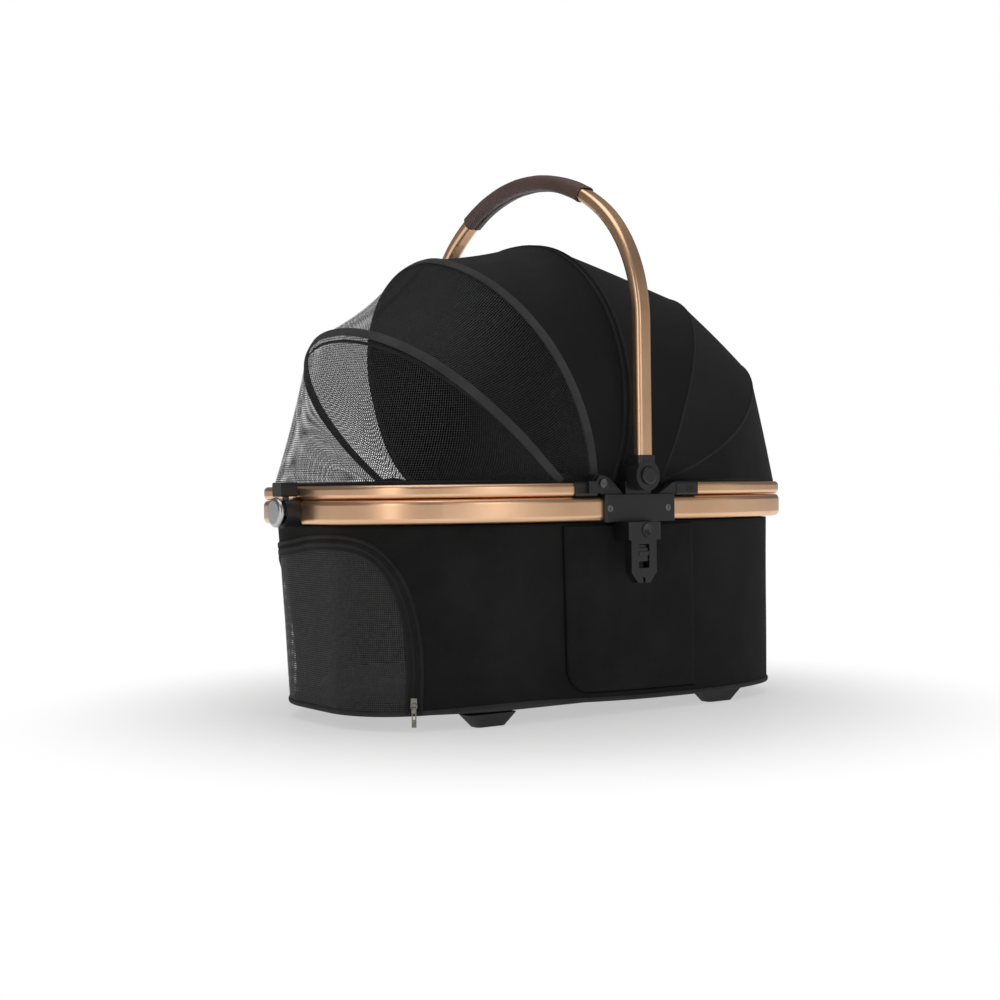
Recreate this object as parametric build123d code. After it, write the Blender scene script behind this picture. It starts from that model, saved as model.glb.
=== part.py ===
from build123d import *
import os
from math import atan2, cos, pi, radians, sin, sqrt

# Pet stroller carrier: a fabric basket hung in an oval two-layer tube frame, with a
# canopy whose mesh front opens, a swinging carry handle and side adapters that drop
# into a stroller chassis. +Z up, the latch end points along -X, left side is -Y.

# ---------------------------------------------------------------- driving dimensions
HALF_LENGTH = 310.0        # frame outline, half length
HALF_WIDTH = 198.0         # frame outline, half width
CORNER_X = 223.0           # length of the rounded corner along X
CORNER_Y = 155.0           # length of the rounded corner along Y
END_R = 137.0              # tighter of the two arcs that make each corner

FOOT_H = 14.0
BASE_Z = FOOT_H            # underside of the basket
LOWER_Z = 216.0            # underside of the lower tube
LOWER_H = 26.0
LOWER_T = 16.0
UPPER_Z = 242.6            # underside of the upper tube
UPPER_H = 14.4
UPPER_T = 12.4
UPPER_INSET = 0.6
TUBE_WALL = 1.6

LATCH_REACH = 26.0         # how far the latch button stands out of the frame
SHIFT_X = LATCH_REACH / 2  # moves the frame so that the origin is mid-length

BODY_TOP_INSET = 15.5
BODY_WALL = 3.0
BASE_HALF_LENGTH = 297.5
BASE_HALF_WIDTH = 154.5
BASE_X = 9.0               # the base sits a little behind the frame's middle
BASE_CORNER = 0.78         # base corners against the frame's corners

EAR_X, EAR_Z = -48.0, 256.0    # hinge line of the opening front
HUB_Z = 264.0                  # hinge line of the handle
LEG_Y = 212.0                  # handle tube centre line, each side
ARCH_Z = 430.0                 # height where the legs turn into the arch
ARCH_TOP = 610.0               # middle of the tube at the top of the arch
HANDLE_W, HANDLE_T = 19.5, 14.0
HANDLE_ROUND = 5.0
SHOULDER_R = 165.0             # tighter bends between the legs and the top of the arch
HANDLE_WALL = 1.6

CANOPY_Z = 246.0
CANOPY_BASE = 258.0
CANOPY_INSET = 13.6
CANOPY_POWER = 2.45
FABRIC_T = 1.6
REAR_LAYER = 0.0           # layers nest so that the front folds under the rear
UPPER_LAYER = 5.2
LOWER_LAYER = 10.4
BOW_T = 2.4
BOW_W = 10.0
ARM_T = 2.2
ARM_GAP = 1.2
RIVET = (-94.5, 262.0)     # joins the front bow's foot to its link
RIVET_R = 2.0

CONNECTOR = (-44.0, 53.0)  # along the side
CONNECTOR_Y = 203.0
CONNECTOR_BACK = 179.0
BIG = 1000.0

# Sagittal line of the canopy: distance along X, height.
CANOPY_RIDGE = [
    (-295.5, 262.0), (-293.0, 300.0), (-288.0, 350.0), (-277.0, 395.0), (-251.0, 427.0),
    (-213.0, 463.0), (-165.0, 500.0), (-95.0, 527.0), (-15.0, 538.0), (40.0, 538.0),
    (110.0, 517.0), (175.0, 488.0), (240.0, 449.0), (280.0, 410.0), (291.0, 350.0),
    (295.5, 262.0),
]
# Bows: X where the bow meets the frame, lean in degrees from straight ahead.
BOWS = {
    "front_bow": (-91.0, 46.5),
    "edge_bow": (-45.0, 64.0),
    "top_bow": (-10.0, 91.0),
    "shoulder_bow": (44.0, 117.0),
    "rear_bow": (66.0, 150.0),
}


# ---------------------------------------------------------------- helpers
def save(node, shape):
    """Writes one node, moved so that the whole object is centred on the origin."""
    placed = shape.translate((SHIFT_X, 0, 0), transform=True)
    export_step(placed, f"parts/{node}.step")


def block(x0, x1, y0, y1, z0, z1):
    """Box between two corners."""
    centre = Pos((x0 + x1) / 2, (y0 + y1) / 2, (z0 + z1) / 2)
    return centre * Box(abs(x1 - x0), abs(y1 - y0), abs(z1 - z0))


def rod_y(x, z, radius, y0, y1):
    """Cylinder along Y."""
    centre = Pos(x, (y0 + y1) / 2, z) * Rot(90, 0, 0)
    return centre * Cylinder(radius, abs(y1 - y0))


def rod_x(y, z, radius, x0, x1):
    """Cylinder along X."""
    centre = Pos((x0 + x1) / 2, y, z) * Rot(0, 90, 0)
    return centre * Cylinder(radius, abs(x1 - x0))


def side_prism(points, y0, y1):
    """Closed outline given in X and Z, carried across from y0 to y1."""
    face = make_face(Polyline([(x, y0, z) for x, z in points], close=True))
    return extrude(face, amount=abs(y1 - y0), dir=(0, 1 if y1 > y0 else -1, 0))


def other_side(shape):
    """Mirror image across the lengthwise middle plane."""
    return mirror(shape, about=Plane.XZ)


def spring_y(x, z, radius, wire, turns, y0, y1):
    """Compression spring along Y between two heights."""
    pitch = (y1 - y0 - wire) / turns
    path = Helix(pitch, y1 - y0 - wire, radius)
    coil = sweep(Plane(path @ 0, z_dir=path % 0) * Circle(wire / 2), path=path)
    return Pos(x, y0 + wire / 2, z) * Rot(-90, 0, 0) * coil


def outline(half_length, half_width, corner_x, corner_y, end_r, middle_x=0.0, z=0.0):
    """Oval of straight sides, flat ends and corners of two tangent arcs."""
    side_r = (corner_x**2 + corner_y**2 - 2 * corner_x * end_r) / (2 * (corner_y - end_r))
    straight = half_length - corner_x
    flat = half_width - corner_y
    small = (half_length - end_r, flat)
    large = (straight, half_width - side_r)
    turn = atan2(small[1] - large[1], small[0] - large[0])

    def on_small(angle):
        return (small[0] + end_r * cos(angle), small[1] + end_r * sin(angle))

    def on_large(angle):
        return (large[0] + side_r * cos(angle), large[1] + side_r * sin(angle))

    quarter = [
        (half_length, flat),
        on_small(turn / 2),
        on_small(turn),
        on_large((turn + pi / 2) / 2),
        (straight, half_width),
    ]
    loop = []
    for sx, sy in ((1, 1), (-1, 1), (-1, -1), (1, -1)):
        points = [(middle_x + sx * x, sy * y, z) for x, y in quarter]
        if sx * sy < 0:
            points.reverse()
        loop.append(points)
    edges = []
    for index, points in enumerate(loop):
        following = loop[(index + 1) % len(loop)]
        edges.append(ThreePointArc(*points[0:3]))
        edges.append(ThreePointArc(*points[2:5]))
        edges.append(Line(points[4], following[0]))
    return Wire(edges)


def frame_outline(inset, z=0.0):
    """The frame's outline, moved inward by an even distance."""
    return outline(
        HALF_LENGTH - inset, HALF_WIDTH - inset, CORNER_X - inset, CORNER_Y - inset,
        END_R - inset, z=z,
    )


def base_outline(inset, z=0.0):
    """The basket's floor outline, moved inward by an even distance."""
    return outline(
        BASE_HALF_LENGTH - inset, BASE_HALF_WIDTH - inset, CORNER_X * BASE_CORNER - inset,
        CORNER_Y * BASE_CORNER - inset, END_R * BASE_CORNER - inset, BASE_X, z,
    )


def plate(wire, z, height):
    """Flat slab of an outline."""
    return Pos(0, 0, z) * extrude(make_face(wire), amount=height, dir=(0, 0, 1))


def ring(inset, thick, z, height, round_r):
    """Endless tube of rounded section that follows the frame's outline."""
    solid = plate(frame_outline(inset), z, height) - plate(frame_outline(inset + thick), z, height)
    edges = solid.edges().filter_by_position(Axis.Z, z, z)
    edges += solid.edges().filter_by_position(Axis.Z, z + height, z + height)
    return fillet(edges, round_r)


def tube_ring(inset, thick, z, height, round_r):
    """The same tube, hollow."""
    core = ring(inset + TUBE_WALL, thick - 2 * TUBE_WALL, z + TUBE_WALL,
                height - 2 * TUBE_WALL, round_r - TUBE_WALL)
    return ring(inset, thick, z, height, round_r) - core


# ---------------------------------------------------------------- frame tubes
LOWER_ROUND = 6.0
UPPER_ROUND = 4.6
LOWER_ENDS = (-10.0, 18.0)     # where the two lower half frames stop in the connector
UPPER_ENDS = (-64.0, 72.0)     # where the two upper hoops stop in their end fittings
SCREW_X = (-38.0, 42.5)
SCREW_Z = 229.0
SCREW_R = 2.0
SCREW_HEAD_R = 3.6
SCREW_HEAD_H = 1.4


def frame_tubes():
    """Lower and upper half frames: front pieces and rear pieces."""
    lower = tube_ring(0.0, LOWER_T, LOWER_Z, LOWER_H, LOWER_ROUND)
    for x in SCREW_X:
        lower -= rod_y(x, SCREW_Z, SCREW_R, -CONNECTOR_Y, -CONNECTOR_BACK)
        lower -= rod_y(x, SCREW_Z, SCREW_R, CONNECTOR_BACK, CONNECTOR_Y)
    upper = tube_ring(UPPER_INSET, UPPER_T, UPPER_Z, UPPER_H, UPPER_ROUND)
    pieces = {}
    for name, tube, ends in (("lower", lower, LOWER_ENDS), ("upper", upper, UPPER_ENDS)):
        pieces[name, "front"] = tube & block(-BIG, ends[0], -BIG, BIG, 0, BIG)
        pieces[name, "rear"] = tube & block(ends[1], BIG, -BIG, BIG, 0, BIG)
    return pieces


# ---------------------------------------------------------------- left side hardware
PIN_R = 2.5
FIT = 0.05                     # running clearance on the radius
EAR_R = 8.5
LUG_R = 10.0
LUG_Y = (186.5, 197.4)
EAR_Y = (198.0, 203.0)
PIN_END = 173.4


def connector():
    """Block that joins both lower half frames, with the lug of the front hinge."""
    x0, x1 = CONNECTOR
    body = block(x0, x1, -CONNECTOR_Y, -CONNECTOR_BACK, LOWER_Z - 1.5, LOWER_Z + LOWER_H + 2.0)
    body = fillet(body.edges().filter_by(Axis.Z), 3.0)
    tube = ring(0.0, LOWER_T, LOWER_Z, LOWER_H, LOWER_ROUND)
    body -= tube & block(-BIG, LOWER_ENDS[0], -BIG, 0, 0, BIG)
    body -= tube & block(LOWER_ENDS[1], BIG, -BIG, 0, 0, BIG)
    lug = rod_y(EAR_X, EAR_Z, LUG_R, -LUG_Y[1], -LUG_Y[0])
    lug += side_prism(
        [(EAR_X, EAR_Z - LUG_R), (EAR_X, EAR_Z + LUG_R), (EAR_X + 14, EAR_Z + 6),
         (-16, LOWER_Z + LOWER_H + 3), (-16, LOWER_Z + LOWER_H), (-42, LOWER_Z + LOWER_H)],
        -LUG_Y[1], -LUG_Y[0],
    )
    body += lug
    body -= rod_y(EAR_X, EAR_Z, PIN_R, -BIG, 0)
    for x in SCREW_X:
        body -= rod_y(x, SCREW_Z, SCREW_R, -BIG, -CONNECTOR_BACK - 2)
        body -= rod_y(x, SCREW_Z, SCREW_HEAD_R, -BIG, -CONNECTOR_Y + SCREW_HEAD_H)
    body -= rod_y(0, HUB_Z, HUB_R, -HUB_BASE_Y[1], -HUB_BASE_Y[0])
    return body


def screw(x, z, face_y, length):
    """Flat-head machine screw along Y, head outward at face_y, with a cross slot."""
    head = rod_y(x, z, SCREW_HEAD_R, -face_y, -face_y + SCREW_HEAD_H)
    shank = rod_y(x, z, SCREW_R, -face_y + SCREW_HEAD_H, -face_y + length)
    slot = block(x - 2.2, x + 2.2, -face_y, -face_y + 0.7, z - 0.4, z + 0.4)
    slot += block(x - 0.4, x + 0.4, -face_y, -face_y + 0.7, z - 2.2, z + 2.2)
    return head + shank - slot


def hinge_pin():
    """Headed pin that carries the opening front on one side."""
    shank = rod_y(EAR_X, EAR_Z, PIN_R, -EAR_Y[1] - 0.2, -PIN_END)
    head = rod_y(EAR_X, EAR_Z, 4.6, -EAR_Y[1] - 1.8, -EAR_Y[1] - 0.2)
    slot = block(EAR_X - 3, EAR_X + 3, -EAR_Y[1] - 1.8, -EAR_Y[1] - 1.1, EAR_Z - 0.5, EAR_Z + 0.5)
    return shank + head - slot


def lid_fitting():
    """Sleeve on the end of the upper front hoop, with the ear that turns on the pin."""
    sleeve = block(-81, -52, -199.2, -184.6, UPPER_Z - 0.1, UPPER_Z + UPPER_H + 1.0)
    sleeve = fillet(sleeve.edges().filter_by(Axis.X), 2.5)
    tube = ring(UPPER_INSET, UPPER_T, UPPER_Z, UPPER_H, UPPER_ROUND)
    sleeve -= tube & block(-BIG, UPPER_ENDS[0], -BIG, 0, 0, BIG)
    sleeve -= rod_y(EAR_X, EAR_Z, LUG_R + 0.8, -197.7, -184.0)
    ear = rod_y(EAR_X, EAR_Z, EAR_R, -EAR_Y[1], -EAR_Y[0])
    ear += block(-66, EAR_X, -EAR_Y[1], -EAR_Y[0], UPPER_Z + 3, EAR_Z + 2.5)
    body = sleeve + ear
    for x in (-77, -74, -71):
        body -= block(x - 0.6, x + 0.6, -200, -198.7, UPPER_Z + 4, UPPER_Z + 10)
    body -= rod_y(EAR_X, EAR_Z, PIN_R + FIT, -BIG, 0)
    return body


def rear_fitting():
    """Sleeve on the end of the fixed upper rear hoop, with its tapered bracket."""
    body = block(58, 89, -199.2, -184.6, UPPER_Z, UPPER_Z + UPPER_H + 1.0)
    body = fillet(body.edges().filter_by(Axis.X), 2.5)
    body += side_prism(
        [(32, LOWER_Z + LOWER_H + 2), (58, LOWER_Z + LOWER_H + 2), (58, EAR_Z + 1),
         (54, EAR_Z + 1)],
        -198.5, -186.5,
    )
    body -= block(32, CONNECTOR[1], -BIG, 0, 0, LOWER_Z + LOWER_H + 2.0)
    tube = ring(UPPER_INSET, UPPER_T, UPPER_Z, UPPER_H, UPPER_ROUND)
    body -= tube & block(UPPER_ENDS[1], BIG, -BIG, 0, 0, BIG)
    for x in (74, 77, 80):
        body -= block(x - 0.6, x + 0.6, -200, -198.7, UPPER_Z + 4, UPPER_Z + 10)
    return body


# ---------------------------------------------------------------- handle and hubs
HUB_R = 15.0
HUB_BASE_Y = (189.0, 203.4)
COLLAR_R = 16.0
COLLAR_Y = (204.0, 221.0)
HUB_PIN_R = 4.0
BUTTON_R = 9.5
BUTTON_Y = (215.0, 224.5)
BUTTON_TRAVEL = 3.0
CUP_R = 7.2
SOCKET_Z = 276.0
NECK_TOP = 286.0


def hub_base():
    """Fixed round boss that stands on the connector and carries the handle."""
    boss = rod_y(0, HUB_Z, HUB_R, -HUB_BASE_Y[1], -HUB_BASE_Y[0])
    foot = block(-15, 20, -200.5, -HUB_BASE_Y[0], LOWER_Z + LOWER_H + 2.0, HUB_Z - 6)
    body = boss + foot
    body -= block(-BIG, BIG, -BIG, 0, 0, LOWER_Z + LOWER_H + 2.0)
    return body - rod_y(0, HUB_Z, HUB_PIN_R, -BIG, -HUB_BASE_Y[0] - 4)


def hub_pin():
    """Pin that the handle swings on."""
    return rod_y(0, HUB_Z, HUB_PIN_R, -210.5, -HUB_BASE_Y[0] - 4)


def hub_collar():
    """Turning half of the hub, with the socket of the handle tube."""
    drum = rod_y(0, HUB_Z, COLLAR_R, -COLLAR_Y[1], -COLLAR_Y[0])
    neck = block(-11.5, 11.5, -220.6, -204.2, HUB_Z, NECK_TOP)
    neck = fillet(neck.edges().filter_by(Axis.Z), 4.0)
    body = drum + neck
    body -= rod_y(0, HUB_Z, HUB_PIN_R + FIT, -BIG, 0)
    body -= rod_y(0, HUB_Z, BUTTON_R + FIT, -BIG, -BUTTON_Y[0] + BUTTON_TRAVEL + 0.6)
    return body - handle_solid()


def hub_button():
    """Round cap that is pressed to let the handle swing: a cup over its spring."""
    cap = rod_y(0, HUB_Z, BUTTON_R, -BUTTON_Y[1], -BUTTON_Y[0])
    rim = cap.edges().filter_by_position(Axis.Y, -BUTTON_Y[1], -BUTTON_Y[1])
    cap = fillet(rim, 1.8)
    return cap - rod_y(0, HUB_Z, CUP_R, -BUTTON_Y[0] - 6.5, -BUTTON_Y[0])


CROWN_RISE = ARCH_TOP - ARCH_Z
CROWN_R = (LEG_Y**2 + CROWN_RISE**2 - 2 * LEG_Y * SHOULDER_R) / (2 * (CROWN_RISE - SHOULDER_R))
CROWN_Z = ARCH_TOP - CROWN_R
CROWN_HALF_ANGLE = atan2(LEG_Y - SHOULDER_R, ARCH_Z - CROWN_Z)


def crown_arc(half_angle):
    """Wide arc over the top of the handle, from one side to the other."""
    ends = [(0, side * CROWN_R * sin(half_angle), CROWN_Z + CROWN_R * cos(half_angle)) for side in (-1, 1)]
    return ThreePointArc(ends[0], (0, 0, ARCH_TOP), ends[1])


def shoulder_arc(side, upward):
    """Bend between a leg and the crown, from the leg if upward."""
    middle = side * (LEG_Y - SHOULDER_R)
    points = []
    for angle in (0.0, (pi / 2 - CROWN_HALF_ANGLE) / 2, pi / 2 - CROWN_HALF_ANGLE):
        points.append((0, middle + side * SHOULDER_R * cos(angle), ARCH_Z + SHOULDER_R * sin(angle)))
    if not upward:
        points.reverse()
    return ThreePointArc(*points)


def handle_sweep(width, thick, rounding):
    """Rounded oblong section carried up one leg, over the arch and down the other leg."""
    path = Wire([
        Line((0, -LEG_Y, SOCKET_Z), (0, -LEG_Y, ARCH_Z)),
        shoulder_arc(-1, True),
        crown_arc(CROWN_HALF_ANGLE),
        shoulder_arc(1, False),
        Line((0, LEG_Y, ARCH_Z), (0, LEG_Y, SOCKET_Z)),
    ])
    section = Pos(0, -LEG_Y, SOCKET_Z) * RectangleRounded(width, thick, rounding)
    return sweep(section, path=path)


def handle_solid():
    """Outside of the handle tube, as a solid bar."""
    return handle_sweep(HANDLE_W, HANDLE_T, HANDLE_ROUND)


GRIP_HALF_ANGLE = radians(28)
GRIP_SKIN = 2.3


def grip():
    """Leather sleeve round the top of the arch."""
    path = crown_arc(GRIP_HALF_ANGLE)
    start = Plane(path @ 0, x_dir=(1, 0, 0), z_dir=path % 0)
    skin = 2 * GRIP_SKIN
    outer = sweep(start * RectangleRounded(HANDLE_W + skin, HANDLE_T + skin, HANDLE_ROUND + GRIP_SKIN), path=path)
    return outer - handle_solid()


# ---------------------------------------------------------------- stroller adapters
ADAPTER_X = (-24.0, 19.5)
ADAPTER_FACE = 218.0
ADAPTER_BUTTON = (0.6, 205.8)
ADAPTER_BUTTON_R = 7.6
CATCH_Z = 188.0


def adapter_bracket():
    """Block under the connector with the tongue that drops into a chassis socket."""
    x0, x1 = ADAPTER_X
    top = LOWER_Z - 1.5
    body = block(x0, x1, -ADAPTER_FACE, -189, 195, top)
    body = fillet(body.edges().filter_by(Axis.Z), 2.5)
    tongue = side_prism(
        [(-22, 195), (12.5, 195), (12.5, 160), (3, 149), (-13, 149), (-22, 160)],
        -ADAPTER_FACE, -ADAPTER_FACE + 11,
    )
    body += tongue
    body -= block(-12, 2.5, -BIG, 0, 165, 190.5)
    body -= block(-6.5, -3.5, -BIG, 0, 140, 155)
    bx, bz = ADAPTER_BUTTON
    body -= rod_y(bx, bz, ADAPTER_BUTTON_R + FIT, -BIG, -ADAPTER_FACE + 13)
    body -= rod_x(-212, CATCH_Z, 1.55, -16, 6.5)
    return body


def adapter_button():
    """Release plug in the bracket, dished so that a finger finds it."""
    bx, bz = ADAPTER_BUTTON
    body = rod_y(bx, bz, ADAPTER_BUTTON_R, -ADAPTER_FACE - 1.0, -ADAPTER_FACE + 9.5)
    dish = Pos(bx, -ADAPTER_FACE - 10.2, bz) * Sphere(11.0)
    return body - dish - rod_y(bx, bz, 4.6, -ADAPTER_FACE + 2.2, -ADAPTER_FACE + 9.5)


def adapter_catch():
    """Sprung pawl in the window of the tongue, turning on its own cross pin."""
    body = block(-11.2, 1.7, -216.5, -212.5, 172, 186.5)
    body += block(-11.2, 1.7, -214.5, -209.5, CATCH_Z - 2.3, CATCH_Z + 1.6)
    body += block(-11.2, 1.7, -218.0, -213, 178.5, 182.5)
    body -= rod_x(-212, CATCH_Z, 1.5, -20, 10)
    return body + rod_x(-212, CATCH_Z, 1.5, -15.6, 6.1)


# ---------------------------------------------------------------- latch at the front
LATCH_Z = 229.5
HOUSING_R = 16.8
HOUSING_X = (-327.0, -306.0)
KNOB_TRAVEL = 4.0
KNOB_FACE = -(HALF_LENGTH + LATCH_REACH)


def latch_housing():
    """Round housing on the lower front tube, hollow for the button's yoke."""
    body = rod_x(0, LATCH_Z, HOUSING_R, *HOUSING_X)
    body += block(-326.5, -309, -12, 12, LATCH_Z, 242.2)
    body -= ring(0.0, LOWER_T, LOWER_Z, LOWER_H, LOWER_ROUND)
    body -= rod_x(0, LATCH_Z, 13.3, -BIG, -310.5)
    body &= block(-BIG, BIG, -BIG, BIG, 0, LOWER_Z + LOWER_H + 0.3)
    body -= block(-324.5, -312.0, -7.5, 7.5, LATCH_Z, 250)
    return body


def latch_knob():
    """Domed push button with the yoke and nose that hold the lid's tongue."""
    dome = rod_x(0, LATCH_Z, 16.2, -331.5, KNOB_FACE)
    rim = dome.edges().filter_by_position(Axis.X, KNOB_FACE, KNOB_FACE)
    dome = fillet(rim, 3.8)
    skirt = rod_x(0, LATCH_Z, 13.0, -331.5, -329.5)
    body = dome + skirt
    for y in (-10.4, 8.2):
        body += block(-329.5, -315.2, y, y + 2.2, LATCH_Z - 4, LATCH_Z + 4)
    body += block(-317.2, -315.2, -10.4, 10.4, LATCH_Z - 4, LATCH_Z + 4)
    return body + block(-320.3, -317.2, -3.2, 3.2, LATCH_Z + 1, LATCH_Z + 3.6)


def latch_tongue():
    """Black block on the upper front hoop with the tongue that drops in the housing."""
    body = block(-331, -311.4, -10.5, 10.5, UPPER_Z + 3.6, UPPER_Z + UPPER_H + 4.4)
    body = fillet(body.edges().filter_by(Axis.X), 2.5)
    body -= ring(UPPER_INSET, UPPER_T, UPPER_Z, UPPER_H, UPPER_ROUND)
    blade = block(-321.4, -319.6, -6, 6, LATCH_Z - 1.5, UPPER_Z + 6)
    blade -= block(-323, -318, -4.0, 4.0, LATCH_Z + 0.2, LATCH_Z + 4.4)
    return body + blade


# ---------------------------------------------------------------- basket
BODY_TOP_Z = LOWER_Z - 1.8
BOARD_Z = BASE_Z + 3.0
DOOR_CENTRE = (-300.0, 45.0)
DOOR_AXES = (68.0, 161.0)
TAPE_W = 17.0
PIPING_R = 3.0
ARCH_STEPS = 12


def basket_solid(inset, z0=BASE_Z, z1=BODY_TOP_Z):
    """Tapered oval tub between two heights, its wall moved inward by inset."""
    tub = loft([
        make_face(base_outline(inset, BASE_Z)),
        make_face(frame_outline(BODY_TOP_INSET + inset, BODY_TOP_Z)),
    ], ruled=True)
    return tub & block(-BIG, BIG, -BIG, BIG, z0, z1)


def door_prism(shrink):
    """Everything in front of the arched door seam."""
    cx, cz = DOOR_CENTRE
    ax, az = DOOR_AXES[0] - shrink, DOOR_AXES[1] - shrink
    bottom = BASE_Z + 7.0
    arc = [
        (cx + ax * cos(pi / 2 * step / ARCH_STEPS), cz + az * sin(pi / 2 * step / ARCH_STEPS))
        for step in range(ARCH_STEPS + 1)
    ]
    points = [(cx + ax, bottom)] + arc + [(cx - 60, cz + az), (cx - 60, bottom)]
    return side_prism(points, -BIG / 2, BIG / 2)


def basket_parts():
    """Fabric tub, arched mesh door and the zip tape between them."""
    wall = basket_solid(0.0) - basket_solid(BODY_WALL, BASE_Z + 2.5, BODY_TOP_Z)
    outer = door_prism(0.0)
    inner = door_prism(TAPE_W)
    return wall - outer, wall & inner, (wall & outer) - inner


POCKET_X = (-73, 108)


def pocket():
    """Fabric panel laid over the middle of one long side."""
    skin = basket_solid(-2.0) - basket_solid(-0.05)
    return skin & block(*POCKET_X, -BIG, 0, BASE_Z + 11.5, BODY_TOP_Z - 2.2)


def piping():
    """Binding round the bottom edge of the basket."""
    return plate(base_outline(-PIPING_R), BASE_Z - 1, 6) - plate(base_outline(-0.05), BASE_Z - 1, 6) \
        - basket_solid(0.0)


FOOT_X = (-152.5, 171.0)
FOOT_Y = 133.0


def foot(x, y):
    """Tapered rubber foot."""
    top = Pos(x, y, FOOT_H) * RectangleRounded(62, 26, 6)
    bottom = Pos(x, y, 0) * RectangleRounded(36, 17, 5)
    return loft([bottom, top], ruled=True)


def cushion():
    """Plain pad on the floor of the basket."""
    pad = basket_solid(BODY_WALL + 8.0, BOARD_Z + 4.4, BOARD_Z + 4.4 + 26.0)
    return pad


ZIP_POINT = (-239.2, -125.48, 31.5)    # on the seam tape, low on the left
ZIP_TURN = -32.6                       # the wall there, seen from above
ZIP_LEAN = 5.1                         # the wall leans outward with height
ZIP_PIVOT = (0, -3.9, -2.5)
ZIP_BAR_R = 0.5


def zip_pieces():
    """Zip slider low on the left seam and the flat pull that hangs from it."""
    seat = Pos(*ZIP_POINT) * Rot(0, 0, ZIP_TURN) * Rot(ZIP_LEAN, 0, 0)
    eye = Pos(*ZIP_PIVOT) * (Box(3.6, 2.6, 3.4) - Box(8, 1.2, 1.2))
    slider = seat * (Pos(0, -1.6, 0) * Box(6.4, 2.4, 9.0) + eye)
    hang = Pos(*(seat * Pos(*ZIP_PIVOT)).position) * Rot(0, 0, ZIP_TURN)
    pull = Pos(0, 0, -13.1) * Box(5.0, 1.0, 20.0) - Pos(0, 0, -11.9) * Box(2.4, 4, 6)
    pull += Rot(0, 90, 0) * Cylinder(ZIP_BAR_R, 7.0)
    pull += Pos(0, 0, -2.9) * Box(7.0, 0.8, 1.0)
    for side in (-1, 1):
        pull += Pos(side * 3.05, 0, -1.5) * Box(0.9, 0.8, 3.6)
    return slider, hang * pull


# ---------------------------------------------------------------- canopy
def plan_width(x, inset):
    """Half width of the frame outline, moved inward, at a distance along X."""
    length, width = HALF_LENGTH - inset, HALF_WIDTH - inset
    corner_x, corner_y, end_r = CORNER_X - inset, CORNER_Y - inset, END_R - inset
    side_r = (corner_x**2 + corner_y**2 - 2 * corner_x * end_r) / (2 * (corner_y - end_r))
    straight, flat = length - corner_x, width - corner_y
    x = abs(x)
    if x <= straight:
        return width
    small_x = length - end_r
    turn = atan2(flat - (width - side_r), small_x - straight)
    if x <= straight + side_r * cos(turn):
        return width - side_r + sqrt(side_r**2 - (x - straight) ** 2)
    return flat + sqrt(max(end_r**2 - (x - small_x) ** 2, 0.0))


ARCH_POINTS = 9


def dome(layer):
    """Solid under the canopy's surface, moved inward by layer."""
    sections = []
    shrink = (HALF_LENGTH - CANOPY_INSET - layer) / (HALF_LENGTH - CANOPY_INSET)
    for x, top in CANOPY_RIDGE:
        half = plan_width(x, CANOPY_INSET) - layer
        rise = top - CANOPY_BASE - layer
        x_layer = x * shrink
        points = []
        for step in range(ARCH_POINTS + 1):
            angle = pi / 2 * step / ARCH_POINTS
            y = half * cos(angle) ** (2 / CANOPY_POWER) if step < ARCH_POINTS else 0.0
            z = CANOPY_BASE + max(rise, 2.0) * sin(angle) ** (2 / CANOPY_POWER)
            points.append((y, z))
        right = [(x_layer, y, z) for y, z in points]
        left = [(x_layer, -y, z) for y, z in reversed(points[:-1])]
        feet = [(x_layer, -half, CANOPY_Z), (x_layer, half, CANOPY_Z)]
        arch = Spline(right + left)
        edges = [arch, Line(left[-1], feet[0]), Line(feet[0], feet[1]), Line(feet[1], right[0])]
        sections.append(make_face(Wire(edges)))
    return loft(sections, ruled=True)


def lean_line(name, offset):
    """Two far points on a bow's lean line, moved forward by offset."""
    x, lean = BOWS[name]
    dx, dz = -cos(radians(lean)), sin(radians(lean))
    nx, nz = -sin(radians(lean)), -cos(radians(lean))
    start = (x + nx * offset, CANOPY_BASE + nz * offset)
    return (
        (start[0] - dx * 60, start[1] - dz * 60),
        (start[0] + dx * 700, start[1] + dz * 700),
    )


def between(front, rear):
    """Prism across the whole width between two lean lines, each (bow, offset)."""
    f0, f1 = lean_line(*front)
    r0, r1 = lean_line(*rear)
    return side_prism([f0, f1, r1, r0], -BIG / 2, BIG / 2)


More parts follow.
